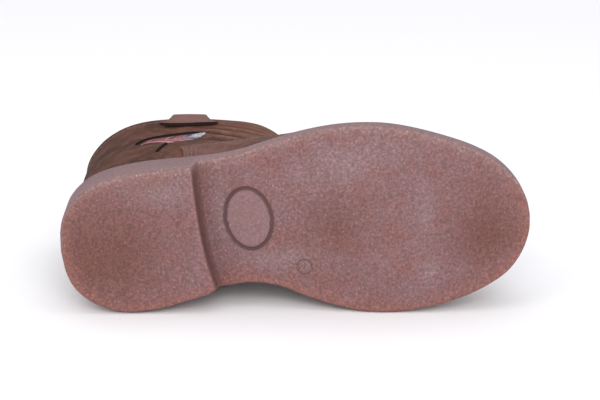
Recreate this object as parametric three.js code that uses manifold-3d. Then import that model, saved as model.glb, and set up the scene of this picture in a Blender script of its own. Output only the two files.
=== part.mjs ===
// A child's pull-on ankle boot, right foot, lying on its inner side with the sole turned out.
// Every piece is modelled upright on the last, in millimetres: X runs forward from the back of
// the heel, Y towards the inner side of the foot and Z up from the ground. The upright boot is
// then laid down on the three places that touch the floor.
import * as THREE from "three";
import { mergeVertices } from "three/addons/utils/BufferGeometryUtils.js";
import Module from "manifold-3d";

const wasm = await Module();
wasm.setup();

// Sole
const SOLE_LENGTH = 191;
const BALL_WIDTH = 78.2; // across the sole at the ball
const SEAT_HEIGHT = 22.5; // top of the sole under the heel of the foot
const BREAST_HEIGHT = 11; // step from the tread of the heel up to the arch
const HEEL_LENGTH = 56.2; // heel tread along the outer side
const BREAST_SLOPE = 2.4; // how far the front face of the heel leans forward
const BREAST_SWEEP = 4.1; // how much longer the heel tread is on the inner side
const BALL_THICKNESS = 8.5;
const TOE_SPRING = 6; // lift of the tread under the toe
const TOE_THICKNESS = 8;
const EDGE_ROUND = 1.2; // worn round on the edge of the tread

// Marks moulded in the tread
const OVAL_LENGTH = 25.6; // across the boot, on the middle of its groove
const OVAL_WIDTH = 18.9;
const OVAL_GROOVE = 1.8;
const OVAL_TURN = 4; // degrees
const SIZE_RING = 6; // middle diameter of the small ring
const SIZE_GROOVE = 0.8;
// Middles of both marks: shares of SOLE_LENGTH along, of BALL_WIDTH across to the inner side.
const OVAL_PLACE = { along: 0.399, across: -0.044 };
const RING_PLACE = { along: 0.5136, across: 0.242 };

// Upper
const FEATHER_INSET = 3.4; // from the edge of the sole in to the foot of the upper
const SHAFT_HEIGHT = 100; // rim of the collar above the ground
const COLLAR_LENGTH = 97.5;
const COLLAR_WIDTH = 52.5;
const UPPER_WALL = 1.9; // leather and lining together
const VAMP_THICKNESS = 1.1;
const VAMP_BACK = 51; // rear seam of the vamp's wing, from the back of the heel
const VAMP_HEIGHT = 41; // top edge of the wing above the ground
const VAMP_THROAT = 0.56; // share of the rise from foot to rim where the vamp ends in front
const INSOLE_THICKNESS = 2.6;
const GAP = 0.3; // left between pieces that meet
const LAP_GAP = 0.45; // under a piece that laps over the curved leather

// Pull strap on the outer side
const STRAP_FOOT_WIDTH = 27;
const STRAP_FOLD_WIDTH = 18;
const STRAP_THICKNESS = 1.6;
const STRAP_PLACE = 52; // middle of the strap, from the back of the heel
const STRAP_ABOVE = 5.2; // from the rim up to the fold
const STRAP_BELOW = 14.5; // from the rim down to the cut ends

// Inlay in the window of the outer side
const INLAY_LENGTH = 34.5;
const INLAY_WIDTH = 14.5;
const INLAY_TURN = 27; // degrees up towards the toe
const INLAY_PLACE = 46; // middle of the window, from the back of the heel
const INLAY_HEIGHT = 70.3; // middle of the window above the ground
const INLAY_THICKNESS = 1.1;
const QUILL_LENGTH = 22;
const QUILL_WIDTH = 2.6;
const QUILL_TURN = 75; // degrees down towards the heel

// Half-breadth of the sole along its length. An ellipse has one swell all along.
// at: share of the sole's length. swell and bend (towards the inner side): shares of BALL_WIDTH.
const OUTLINE = [
  { at: 0, swell: 0.86, bend: 0.0 },
  { at: 0.03, swell: 0.705, bend: 0.002 },
  { at: 0.07, swell: 0.618, bend: 0.004 },
  { at: 0.13, swell: 0.536, bend: 0.005 },
  { at: 0.19, swell: 0.468, bend: -0.003 },
  { at: 0.26, swell: 0.404, bend: -0.017 },
  { at: 0.32, swell: 0.371, bend: -0.028 },
  { at: 0.39, swell: 0.357, bend: -0.044 },
  { at: 0.45, swell: 0.381, bend: -0.049 },
  { at: 0.51, swell: 0.431, bend: -0.034 },
  { at: 0.58, swell: 0.484, bend: -0.015 },
  { at: 0.64, swell: 0.52, bend: 0.001 },
  { at: 0.7, swell: 0.543, bend: 0.015 },
  { at: 0.77, swell: 0.561, bend: 0.034 },
  { at: 0.83, swell: 0.573, bend: 0.05 },
  { at: 0.9, swell: 0.6, bend: 0.066 },
  { at: 0.95, swell: 0.632, bend: 0.078 },
  { at: 1, swell: 0.645, bend: 0.086 },
];

// Side view of the sole. arch: underside in front of the heel, as a share of BREAST_HEIGHT.
// spring: lift of the toe, as a share of TOE_SPRING. seat, ball and toe: how much of each
// named height makes up the top of the sole.
const PROFILE = [
  { at: 0, arch: 1.02, spring: 0, seat: 1.1, ball: 0, toe: 0 },
  { at: 0.06, arch: 1.02, spring: 0, seat: 1.07, ball: 0, toe: 0 },
  { at: 0.13, arch: 1.02, spring: 0, seat: 1.01, ball: 0, toe: 0 },
  { at: 0.29, arch: 1.0, spring: 0, seat: 0.94, ball: 0.06, toe: 0 },
  { at: 0.37, arch: 0.83, spring: 0, seat: 0.7, ball: 0.36, toe: 0 },
  { at: 0.45, arch: 0.6, spring: 0, seat: 0.42, ball: 0.72, toe: 0 },
  { at: 0.55, arch: 0.24, spring: 0, seat: 0.12, ball: 0.99, toe: 0 },
  { at: 0.64, arch: 0.02, spring: 0, seat: 0.0, ball: 1.02, toe: 0 },
  { at: 0.66, arch: 0, spring: 0, seat: 0, ball: 1.01, toe: 0 },
  { at: 0.77, arch: 0, spring: 0, seat: 0, ball: 1.0, toe: 0 },
  { at: 0.85, arch: 0, spring: 0.2, seat: 0, ball: 0.66, toe: 0.34 },
  { at: 0.93, arch: 0, spring: 0.56, seat: 0, ball: 0.26, toe: 0.74 },
  { at: 1, arch: 0, spring: 1, seat: 0, ball: 0, toe: 1 },
];

// Bands of the upper from its foot to its rim, each a closed loop round the boot.
// back, front: ends of the loop, shares of SOLE_LENGTH. backRise, frontRise: height of those
// ends, shares of the way from the sole to the rim. sole: share of the sole's own outline.
// heel to toe: swell of the loop at SWELL_AT, shares of BALL_WIDTH. bend: share kept of the
// sole's left and right curve. collar: share of the collar's own oval.
const BANDS = [
  {
    name: "feather", sole: 1, bend: 1, collar: 0,
    back: 0.012, backRise: 0, front: 0.987, frontRise: 0,
    tip: 0.7, heel: 0.46, waist: 0.33, ball: 0.49, toe: 0.52,
  },
  {
    name: "rand", sole: 0.85, bend: 1, collar: 0,
    back: 0.008, backRise: 0.1, front: 0.987, frontRise: 0.07,
    tip: 0.68, heel: 0.455, waist: 0.335, ball: 0.485, toe: 0.53,
  },
  {
    name: "toe box", sole: 0.4, bend: 0.85, collar: 0,
    back: 0.005, backRise: 0.2, front: 0.976, frontRise: 0.155,
    tip: 0.62, heel: 0.45, waist: 0.335, ball: 0.46, toe: 0.5,
  },
  {
    name: "toe top", sole: 0.08, bend: 0.6, collar: 0,
    back: 0.003, backRise: 0.32, front: 0.927, frontRise: 0.235,
    tip: 0.57, heel: 0.445, waist: 0.33, ball: 0.405, toe: 0.38,
  },
  {
    name: "vamp", sole: 0, bend: 0.4, collar: 0,
    back: 0.003, backRise: 0.44, front: 0.842, frontRise: 0.32,
    tip: 0.54, heel: 0.437, waist: 0.328, ball: 0.352, toe: 0.37,
  },
  {
    name: "instep", sole: 0, bend: 0.25, collar: 0,
    back: 0.004, backRise: 0.56, front: 0.733, frontRise: 0.415,
    tip: 0.51, heel: 0.43, waist: 0.327, ball: 0.33, toe: 0.36,
  },
  {
    name: "throat", sole: 0, bend: 0.15, collar: 0.1,
    back: 0.004, backRise: 0.68, front: 0.634, frontRise: 0.525,
    tip: 0.48, heel: 0.425, waist: 0.33, ball: 0.325, toe: 0.33,
  },
  {
    name: "ankle", sole: 0, bend: 0.1, collar: 0.35,
    back: 0.004, backRise: 0.79, front: 0.562, frontRise: 0.65,
    tip: 0.45, heel: 0.415, waist: 0.335, ball: 0.322, toe: 0.31,
  },
  {
    name: "shaft", sole: 0, bend: 0.03, collar: 0.75,
    back: 0.003, backRise: 0.9, front: 0.524, frontRise: 0.82,
    tip: 0.42, heel: 0.4, waist: 0.34, ball: 0.325, toe: 0.32,
  },
  {
    name: "collar", sole: 0, bend: 0, collar: 1,
    back: 0, backRise: 1, front: 0.51, frontRise: 1,
    tip: 0.4, heel: 0.385, waist: 0.342, ball: 0.325, toe: 0.33,
  },
];
const SWELL_AT = { tip: 0, heel: 0.2, waist: 0.44, ball: 0.72, toe: 1 };

// Oval of the collar: swell along it, shares of COLLAR_WIDTH.
const COLLAR_OVAL = [
  { at: 0, swell: 0.47 },
  { at: 0.05, swell: 0.54 },
  { at: 0.12, swell: 0.591 },
  { at: 0.2, swell: 0.587 },
  { at: 0.31, swell: 0.564 },
  { at: 0.45, swell: 0.53 },
  { at: 0.6, swell: 0.511 },
  { at: 0.7, swell: 0.513 },
  { at: 0.78, swell: 0.533 },
  { at: 0.86, swell: 0.562 },
  { at: 1, swell: 0.595 },
];
const COLLAR_SHIFT = -0.03; // of the collar's middle, towards the inner side, share of its width

const ROUND_STEPS = 60; // steps round the upper
const RISE_STEPS = 20; // steps from foot to rim
const SOLE_STEPS = 36; // steps along one side of the sole

// A smooth line through one column of a table, read at a share of its way.
function along(table, key, at) {
  const last = table.length - 1;
  let i = 0;
  while (i < last - 1 && at > table[i + 1].at) i += 1;
  const slope = (k) => {
    const a = table[Math.max(k - 1, 0)];
    const b = table[Math.min(k + 1, last)];
    return (b[key] - a[key]) / (b.at - a.at);
  };
  const span = table[i + 1].at - table[i].at;
  const u = THREE.MathUtils.clamp((at - table[i].at) / span, 0, 1);
  const rise = table[i + 1][key] - table[i][key];
  const from = slope(i) * span;
  const to = slope(i + 1) * span;
  const bent = from * u + (3 * rise - 2 * from - to) * u * u + (from + to - 2 * rise) * u ** 3;
  return table[i][key] + (rise === 0 ? 0 : bent);
}

const share = (angle) => (1 - Math.cos(angle)) / 2;
const angleAt = (at) => Math.acos(1 - 2 * THREE.MathUtils.clamp(at, 0, 1));

// Point of the sole's outline at an angle: 0 is the back of the heel, pi the toe.
function outline(angle) {
  const at = share(angle);
  const swell = along(OUTLINE, "swell", at);
  const bend = along(OUTLINE, "bend", at);
  return new THREE.Vector2(at * SOLE_LENGTH, BALL_WIDTH * (bend + swell * Math.sin(angle)));
}

// The same outline drawn in towards the foot by an inset.
function insetOutline(angle, inset) {
  const step = 0.01;
  const run = outline(angle + step).sub(outline(angle - step)).normalize();
  return outline(angle).add(new THREE.Vector2(run.y, -run.x).multiplyScalar(inset));
}

function soleTop(x) {
  const at = THREE.MathUtils.clamp(x / SOLE_LENGTH, 0, 1);
  const toeTop = TOE_SPRING + TOE_THICKNESS;
  return (
    SEAT_HEIGHT * along(PROFILE, "seat", at) +
    BALL_THICKNESS * along(PROFILE, "ball", at) +
    toeTop * along(PROFILE, "toe", at)
  );
}

function treadHeight(at) {
  return BREAST_HEIGHT * along(PROFILE, "arch", at) + TOE_SPRING * along(PROFILE, "spring", at);
}

const BAND_TABLE = BANDS.map((band, i) => ({ ...band, at: i / (BANDS.length - 1) }));

// Point of the upper's outer face. angle as in outline(), rise from 0 at the foot to 1 at the
// rim; above 1 the collar is carried straight up.
function skinPoint(angle, rise) {
  const t = THREE.MathUtils.clamp(rise, 0, 1);
  const band = (key) => along(BAND_TABLE, key, t);
  const at = share(angle);
  const collar = band("collar");
  const back = band("back") * SOLE_LENGTH;
  const plainFront = band("front") * SOLE_LENGTH;
  const collarFront = (back + COLLAR_LENGTH) * (band("front") / BAND_TABLE.at(-1).front);
  const front = THREE.MathUtils.lerp(plainFront, collarFront, collar);
  const x = back + (front - back) * at;

  const swells = Object.entries(SWELL_AT).map(([key, place]) => ({ at: place, swell: band(key) }));
  const footSwell = along(swells, "swell", at) * BALL_WIDTH;
  const ovalSwell = along(COLLAR_OVAL, "swell", at) * COLLAR_WIDTH;
  const bend = along(OUTLINE, "bend", THREE.MathUtils.clamp(x / SOLE_LENGTH, 0, 1));
  const shift = bend * BALL_WIDTH * band("bend") + COLLAR_SHIFT * COLLAR_WIDTH * collar;
  const y = shift + THREE.MathUtils.lerp(footSwell, ovalSwell, collar) * Math.sin(angle);

  const foot = insetOutline(angle, FEATHER_INSET);
  const sole = band("sole");
  const px = THREE.MathUtils.lerp(x, foot.x, sole);
  const py = THREE.MathUtils.lerp(y, foot.y, sole);
  const lift = THREE.MathUtils.lerp(band("backRise"), band("frontRise"), at);
  const ground = soleTop(px) + GAP;
  return new THREE.Vector3(px, py, ground + lift * (SHAFT_HEIGHT - ground));
}

function skinNormal(angle, rise) {
  const step = 0.004;
  const low = Math.max(rise - step, 0);
  const high = Math.min(rise + step, 1);
  const up = skinPoint(angle, high).sub(skinPoint(angle, low));
  const round = skinPoint(angle + step, rise).sub(skinPoint(angle - step, rise));
  return up.cross(round).normalize();
}

// Point at a depth from the outer face; foot and rim stay level.
function skin(angle, rise, out) {
  const point = skinPoint(angle, rise);
  const normal = skinNormal(angle, rise);
  if (rise <= 0 || rise >= 1) {
    normal.setZ(0);
    normal.normalize();
  }
  return point.addScaledVector(normal, out);
}

// Angle and rise of the place on the skin at x and z, on the outer (-1) or inner (1) side.
function placeOn(x, z, side) {
  let rise = 0.5;
  let angle = 0;
  for (let i = 0; i < 40; i += 1) {
    const ends = [skinPoint(0, rise).x, skinPoint(Math.PI, rise).x];
    angle = side * angleAt((x - ends[0]) / (ends[1] - ends[0]));
    const miss = z - skinPoint(angle, rise).z;
    rise = THREE.MathUtils.clamp(rise + (0.7 * miss) / SHAFT_HEIGHT, 0, 1);
  }
  return { angle, rise };
}

// Mesh from rings of equal length: each ring is joined to the next, and the last to the first
// where the surface closes on itself.
function meshFromRings(rings, { closed = false, caps = [] } = {}) {
  const points = rings.flat();
  const count = rings[0].length;
  const faces = [];
  const joins = closed ? rings.length : rings.length - 1;
  for (let r = 0; r < joins; r += 1) {
    const below = r * count;
    const above = ((r + 1) % rings.length) * count;
    for (let i = 0; i < count; i += 1) {
      const j = (i + 1) % count;
      faces.push(below + i, above + i, below + j, above + i, above + j, below + j);
    }
  }
  caps.forEach((cap) => {
    const base = points.length;
    points.push(...cap.points);
    cap.faces.forEach((f) => faces.push(base + f));
  });
  return geometryOf(points, faces);
}

function geometryOf(points, faces) {
  const geometry = new THREE.BufferGeometry();
  const numbers = new Float32Array(points.flatMap((p) => [p.x, p.y, p.z]));
  geometry.setAttribute("position", new THREE.BufferAttribute(numbers, 3));
  geometry.setIndex(faces);
  return geometry;
}

// A closed sheet from two facing grids of the same size: its outer face, inner face and rim.
function sheetFromGrids(outer, inner) {
  const rows = outer.length;
  const columns = outer[0].length;
  const points = [...outer.flat(), ...inner.flat()];
  const faces = [];
  const half = rows * columns;
  const at = (layer, r, c) => layer * half + r * columns + c;
  const quad = (a, b, c, d) => faces.push(a, c, b, a, d, c);
  for (let r = 0; r < rows - 1; r += 1) {
    for (let c = 0; c < columns - 1; c += 1) {
      quad(at(0, r, c), at(0, r, c + 1), at(0, r + 1, c + 1), at(0, r + 1, c));
      quad(at(1, r, c), at(1, r + 1, c), at(1, r + 1, c + 1), at(1, r, c + 1));
    }
  }
  for (let c = 0; c < columns - 1; c += 1) {
    quad(at(0, 0, c), at(1, 0, c), at(1, 0, c + 1), at(0, 0, c + 1));
    quad(at(0, rows - 1, c + 1), at(1, rows - 1, c + 1), at(1, rows - 1, c), at(0, rows - 1, c));
  }
  for (let r = 0; r < rows - 1; r += 1) {
    quad(at(0, r + 1, 0), at(1, r + 1, 0), at(1, r, 0), at(0, r, 0));
    const end = columns - 1;
    quad(at(0, r, end), at(1, r, end), at(1, r + 1, end), at(0, r + 1, end));
  }
  return geometryOf(points, faces);
}

function solid(geometry) {
  const plain = geometry.clone();
  plain.deleteAttribute("normal");
  plain.deleteAttribute("uv");
  const merged = mergeVertices(plain, 1e-4);
  const mesh = new wasm.Mesh({
    numProp: 3,
    vertProperties: merged.attributes.position.array,
    triVerts: new Uint32Array(merged.index.array),
  });
  return new wasm.Manifold(mesh);
}

function geometryFrom(manifold) {
  const mesh = manifold.getMesh();
  const geometry = new THREE.BufferGeometry();
  geometry.setAttribute("position", new THREE.BufferAttribute(new Float32Array(mesh.vertProperties), 3));
  geometry.setIndex(Array.from(mesh.triVerts));
  return geometry;
}

// Sole

const BREAST_AT = HEEL_LENGTH / SOLE_LENGTH;
const SLOPE_SHARE = BREAST_SLOPE / SOLE_LENGTH;

// Shares along the sole where its sides have a point, with a close pair at the heel's breast.
function soleStations() {
  const even = Array.from({ length: SOLE_STEPS - 1 }, (_, i) => share((Math.PI * (i + 1)) / SOLE_STEPS));
  const pair = [BREAST_AT, BREAST_AT + SLOPE_SHARE];
  const clear = 0.4 / SOLE_STEPS;
  const kept = even.filter((at) => at < pair[0] - clear || at > pair[1] + clear);
  return [...kept, ...pair].sort((a, b) => a - b);
}

// The breast sweeps forward on the inner side: how far a station moves there.
function sweptStation(at) {
  const reach = 0.055;
  const near = THREE.MathUtils.clamp(1 - Math.abs(at - BREAST_AT - SLOPE_SHARE / 2) / reach, 0, 1);
  return at + (BREAST_SWEEP / SOLE_LENGTH) * near * near * (3 - 2 * near);
}

function soleGeometry() {
  const stations = soleStations();
  const inner = stations.map((at) => ({ at, angle: angleAt(sweptStation(at)) }));
  const outer = stations.map((at) => ({ at, angle: -angleAt(at) })).reverse();
  const around = [{ at: 0, angle: 0 }, ...inner, { at: 1, angle: Math.PI }, ...outer];
  const tread = (at) => (at <= BREAST_AT + 1e-9 ? 0 : treadHeight(at));
  const ring = (inset, height) =>
    around.map((p) => {
      const spot = insetOutline(p.angle, inset);
      return new THREE.Vector3(spot.x, spot.y, height(p.at, spot.x));
    });
  const corner = EDGE_ROUND * (1 - Math.SQRT1_2);
  const rings = [
    ring(EDGE_ROUND, (at) => tread(at)),
    ring(corner, (at) => tread(at) + corner),
    ring(0, (at) => tread(at) + EDGE_ROUND),
    ring(0, (at, x) => soleTop(x) - EDGE_ROUND / 2),
    ring(EDGE_ROUND / 2, (at, x) => soleTop(x)),
  ];

  // The tread and the top are strips from side to side, one for each pair of stations.
  const across = [0, 0.35, 0.62, 0.82, 1];
  const count = around.length;
  const half = stations.length;
  const cap = (edge, turned) => {
    const points = [];
    for (let k = 1; k <= half; k += 1) {
      const from = edge[count - k];
      const to = edge[k];
      across.forEach((v) => {
        const point = from.clone().lerp(to, v);
        point.x = from.x + (to.x - from.x) * v ** 3;
        points.push(point);
      });
    }
    const heel = points.push(edge[0]) - 1;
    const toe = points.push(edge[half + 1]) - 1;
    const faces = [];
    const triangle = (a, b, c) => faces.push(...(turned ? [a, c, b] : [a, b, c]));
    const width = across.length;
    for (let c = 0; c < width - 1; c += 1) {
      for (let k = 0; k < half - 1; k += 1) {
        const p = k * width + c;
        triangle(p, p + 1, p + width);
        triangle(p + width, p + 1, p + width + 1);
      }
      triangle(heel, c + 1, c);
      const last = (half - 1) * width + c;
      triangle(toe, last, last + 1);
    }
    return { points, faces };
  };
  return meshFromRings(rings, { caps: [cap(rings[0], false), cap(rings.at(-1), true)] });
}

// A closed tube round an oval drawn on the tread, which cuts a groove there.
function grooveCutter({ place, alongX, acrossY, turn, width, steps, sides }) {
  const x = place.along * SOLE_LENGTH;
  const y = place.across * BALL_WIDTH;
  const turned = THREE.MathUtils.degToRad(turn);
  const radius = width / 2;
  const rings = Array.from({ length: steps }, (_, i) => {
    const angle = (2 * Math.PI * i) / steps;
    const round = new THREE.Vector2((alongX / 2) * Math.cos(angle), (acrossY / 2) * Math.sin(angle));
    const out = new THREE.Vector2(round.x / alongX ** 2, round.y / acrossY ** 2).normalize();
    const origin = new THREE.Vector2();
    round.rotateAround(origin, turned).add(new THREE.Vector2(x, y));
    out.rotateAround(origin, turned);
    return Array.from({ length: sides }, (_, j) => {
      const part = (2 * Math.PI * (j + 0.5)) / sides;
      const reach = radius * Math.cos(part);
      const spot = new THREE.Vector2(round.x + out.x * reach, round.y + out.y * reach);
      const height = treadHeight(round.x / SOLE_LENGTH) + radius * Math.sin(part);
      return new THREE.Vector3(spot.x, spot.y, height);
    });
  });
  return solid(meshFromRings(rings, { closed: true }));
}

function makeSole() {
  const oval = grooveCutter({
    place: OVAL_PLACE,
    alongX: OVAL_WIDTH,
    acrossY: OVAL_LENGTH,
    turn: -OVAL_TURN,
    width: OVAL_GROOVE,
    steps: 44,
    sides: 8,
  });
  const ring = grooveCutter({
    place: RING_PLACE,
    alongX: SIZE_RING,
    acrossY: SIZE_RING,
    turn: 0,
    width: SIZE_GROOVE,
    steps: 20,
    sides: 6,
  });
  return geometryFrom(solid(soleGeometry()).subtract(oval).subtract(ring));
}

// Upper

function upperShell() {
  const angles = Array.from({ length: ROUND_STEPS }, (_, i) => (2 * Math.PI * i) / ROUND_STEPS);
  const rises = Array.from({ length: RISE_STEPS + 1 }, (_, i) => i / RISE_STEPS);
  const outer = rises.map((rise) => angles.map((angle) => skin(angle, rise, 0)));
  const inner = rises.map((rise) => angles.map((angle) => skin(angle, rise, -UPPER_WALL))).reverse();
  return solid(meshFromRings([...outer, ...inner], { closed: true }));
}

// Outline of a leaf lying along X, pointed in front and blunt behind, drawn in by an inset.
function leafShape(length, width, inset) {
  const tip = length / 2 - inset;
  const half = width / 2 - inset;
  const shape = new THREE.Shape();
  shape.moveTo(-tip, -0.35 * half);
  shape.bezierCurveTo(-0.5 * tip, -1.5 * half, 0.3 * tip, -1.5 * half, tip, -0.05 * half);
  shape.lineTo(tip, 0.05 * half);
  shape.bezierCurveTo(0.3 * tip, 1.3 * half, -0.6 * tip, 1.3 * half, -tip, 0.35 * half);
  shape.closePath();
  return shape;
}

// A prism through the outer side of the shaft, from a shape drawn in the side view.
function sidePrism(shape, turn, x, z) {
  const depth = BALL_WIDTH / 2;
  const geometry = new THREE.ExtrudeGeometry(shape, { depth, bevelEnabled: false, curveSegments: 10 });
  geometry.rotateX(Math.PI / 2);
  geometry.rotateY(THREE.MathUtils.degToRad(-turn));
  geometry.translate(x, -BALL_WIDTH / 8, z);
  return solid(geometry);
}

function windowPrism(inset) {
  return sidePrism(leafShape(INLAY_LENGTH, INLAY_WIDTH, inset), INLAY_TURN, INLAY_PLACE, INLAY_HEIGHT);
}

function quillPrism() {
  const shape = new THREE.Shape();
  const half = QUILL_WIDTH / 2;
  shape.moveTo(-QUILL_LENGTH, -half / 2);
  shape.lineTo(0, -half);
  shape.lineTo(0, half);
  shape.lineTo(-QUILL_LENGTH, half / 2);
  shape.closePath();
  return sidePrism(shape, QUILL_TURN, INLAY_PLACE, INLAY_HEIGHT - 0.55 * INLAY_WIDTH);
}

function makeUpper() {
  return geometryFrom(upperShell().subtract(windowPrism(0)).subtract(quillPrism()));
}

// The inlay fills the window, a little below the face of the leather.
function makeInlay() {
  const reach = (INLAY_LENGTH + INLAY_WIDTH) / 2;
  const low = placeOn(INLAY_PLACE, INLAY_HEIGHT - reach, -1);
  const high = placeOn(INLAY_PLACE, INLAY_HEIGHT + reach, -1);
  const rear = placeOn(INLAY_PLACE - reach, INLAY_HEIGHT, -1);
  const fore = placeOn(INLAY_PLACE + reach, INLAY_HEIGHT, -1);
  const steps = 12;
  const grid = (out) =>
    Array.from({ length: steps + 1 }, (_, r) =>
      Array.from({ length: steps + 1 }, (_, c) => {
        const rise = THREE.MathUtils.lerp(low.rise, high.rise, r / steps);
        const angle = THREE.MathUtils.lerp(fore.angle, rear.angle, c / steps);
        return skin(angle, rise, out);
      }),
    );
  const face = -(UPPER_WALL - INLAY_THICKNESS) / 2;
  const layer = solid(sheetFromGrids(grid(face), grid(face - INLAY_THICKNESS)));
  return geometryFrom(layer.intersect(windowPrism(GAP)));
}

// The vamp lies over the upper from the toe back to its seam on either side. Its top edge
// runs level along the wing, then climbs to the throat.
function makeVamp() {
  const rows = 10;
  const wing = (side) => placeOn(VAMP_BACK, VAMP_HEIGHT, side);
  const wingEnd = placeOn(0.5 * SOLE_LENGTH, VAMP_HEIGHT, 1);
  const start = wing(1).angle;
  const end = 2 * Math.PI + wing(-1).angle;
  const step = (2 * Math.PI) / ROUND_STEPS;
  const shared = Array.from({ length: ROUND_STEPS }, (_, i) => i * step);
  const angles = [start, ...shared.filter((a) => a > start + step / 4 && a < end - step / 4), end];
  const topRise = (angle) => {
    const side = angle <= Math.PI ? angle : 2 * Math.PI - angle;
    let rise = 0.3;
    for (let i = 0; i < 30; i += 1) {
      rise += (0.7 * (VAMP_HEIGHT - skinPoint(angle, rise).z)) / SHAFT_HEIGHT;
      rise = THREE.MathUtils.clamp(rise, 0.05, VAMP_THROAT);
    }
    const climb = THREE.MathUtils.smoothstep(side, wingEnd.angle, Math.PI * 0.93);
    return THREE.MathUtils.lerp(rise, VAMP_THROAT, climb);
  };
  const grid = (out) =>
    Array.from({ length: rows + 1 }, (_, r) =>
      angles.map((angle) => skin(angle, (topRise(angle) * r) / rows, out)),
    );
  return sheetFromGrids(grid(LAP_GAP + VAMP_THICKNESS), grid(LAP_GAP));
}

function makeInsole() {
  const inset = FEATHER_INSET + UPPER_WALL + 2 * GAP;
  const layer = (lift) =>
    Array.from({ length: ROUND_STEPS }, (_, i) => {
      const spot = insetOutline((2 * Math.PI * i) / ROUND_STEPS, inset);
      return new THREE.Vector3(spot.x, spot.y, soleTop(spot.x) + lift);
    });
  const rings = [layer(GAP), layer(GAP + INSOLE_THICKNESS)];
  const cap = (ring, turned) => {
    const faces = [];
    const last = ROUND_STEPS;
    for (let k = 0; k < last / 2; k += 1) {
      const a = k;
      const b = k + 1;
      const c = (last - k) % last;
      const d = last - k - 1;
      const corners = [a, b, d, a, d, c].map((i) => i % last);
      for (let f = 0; f < 6; f += 3) {
        const [p, q, r] = corners.slice(f, f + 3);
        if (p !== q && q !== r && p !== r) faces.push(...(turned ? [p, r, q] : [p, q, r]));
      }
    }
    return { points: ring, faces };
  };
  return meshFromRings(rings, { caps: [cap(rings[0], false), cap(rings[1], true)] });
}

// The strap is one band folded over the rim: it climbs the outer face, turns over a bead of
// air and runs down inside the shaft.
function makeStrap() {
  const columns = 8;
  const outside = GAP + STRAP_THICKNESS / 2;
  const inside = -UPPER_WALL - GAP - STRAP_THICKNESS / 2;
  const fold = (outside - inside) / 2;
  const middle = (outside + inside) / 2;
  const profile = [];
  [1, 0.75, 0.5, 0.25, 0].forEach((d) => profile.push({ out: outside, up: -STRAP_BELOW * d }));
  const top = STRAP_ABOVE - fold - STRAP_THICKNESS / 2;
  [0.5, 1].forEach((d) => profile.push({ out: outside, up: top * d }));
  for (let i = 1; i < 6; i += 1) {
    const angle = (Math.PI * i) / 6;
    profile.push({ out: middle + fold * Math.cos(angle), up: top + fold * Math.sin(angle) });
  }
  [1, 0.5].forEach((d) => profile.push({ out: inside, up: top * d }));
  [0, 0.25, 0.5, 0.75, 1].forEach((d) => profile.push({ out: inside, up: -STRAP_BELOW * d }));

  const halfAt = (up) => {
    const u = THREE.MathUtils.clamp((up + STRAP_BELOW) / (STRAP_ABOVE + STRAP_BELOW), 0, 1);
    return THREE.MathUtils.lerp(STRAP_FOOT_WIDTH, STRAP_FOLD_WIDTH, 1 - (1 - u) ** 1.8) / 2;
  };
  const spotOn = (x, up, out) => {
    const place = placeOn(x, SHAFT_HEIGHT + Math.min(up, 0), -1);
    const point = skinPoint(place.angle, place.rise);
    const normal = skinNormal(place.angle, place.rise).setZ(0).normalize();
    return point.addScaledVector(normal, out).setZ(SHAFT_HEIGHT + up);
  };
  const grid = (side) =>
    profile.map((p, i) => {
      const before = profile[Math.max(i - 1, 0)];
      const after = profile[Math.min(i + 1, profile.length - 1)];
      const run = new THREE.Vector2(after.out - before.out, after.up - before.up).normalize();
      const out = p.out + (run.y * side * STRAP_THICKNESS) / 2;
      const up = p.up - (run.x * side * STRAP_THICKNESS) / 2;
      return Array.from({ length: columns + 1 }, (_, c) => {
        const x = STRAP_PLACE + halfAt(p.up) * (1 - (2 * c) / columns);
        return spotOn(x, up, out);
      });
    });
  return sheetFromGrids(grid(1), grid(-1));
}

const finish = (color, roughness) => new THREE.MeshStandardMaterial({ color, roughness, metalness: 0 });

function piece(name, geometry, material) {
  geometry.computeVertexNormals();
  const mesh = new THREE.Mesh(geometry, material);
  mesh.name = name;
  return mesh;
}

const nubuck = finish(0x6a4d44, 0.9);
const pieces = [
  piece("sole", makeSole(), finish(0xa07d7b, 0.85)),
  piece("insole", makeInsole(), finish(0xb59a80, 0.9)),
  piece("upper", makeUpper(), nubuck),
  piece("vamp", makeVamp(), nubuck),
  piece("pull_strap", makeStrap(), nubuck),
  piece("inlay", makeInlay(), finish(0xa83238, 0.6)),
];

// Lying on the inner side: the floor touches the sole at the ball, the heel and the shaft.
const boot = new THREE.Group();
boot.add(...pieces);

function everyPoint() {
  const point = new THREE.Vector3();
  return pieces.flatMap((mesh) => {
    const position = mesh.geometry.getAttribute("position");
    return Array.from({ length: position.count }, (_, i) => point.fromBufferAttribute(position, i).clone());
  });
}

// Turn that lays the plane through the outermost points of heel, ball and shaft level, with the
// inner side of the boot down and the toe ahead.
function restTurn(points) {
  let normal = new THREE.Vector3(0, 1, 0);
  const regions = [
    (p) => p.z < SEAT_HEIGHT + 1 && p.x < SOLE_LENGTH / 2,
    (p) => p.z < SEAT_HEIGHT + 1 && p.x >= SOLE_LENGTH / 2,
    (p) => p.z > SHAFT_HEIGHT / 2,
  ];
  const groups = regions.map((inside) => points.filter(inside));
  for (let i = 0; i < 8; i += 1) {
    const [heel, ball, shaft] = groups.map((group) =>
      group.reduce((best, p) => (p.dot(normal) > best.dot(normal) ? p : best)),
    );
    const across = new THREE.Vector3().subVectors(shaft, heel);
    normal = new THREE.Vector3().subVectors(ball, heel).cross(across).normalize();
    if (normal.y < 0) normal.negate();
  }
  const ahead = new THREE.Vector3(1, 0, 0).addScaledVector(normal, -normal.x).normalize();
  const aside = new THREE.Vector3().crossVectors(ahead, normal);
  const basis = new THREE.Matrix4().makeBasis(ahead, aside.clone(), normal.clone().negate());
  return new THREE.Quaternion().setFromRotationMatrix(basis.transpose());
}

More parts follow.
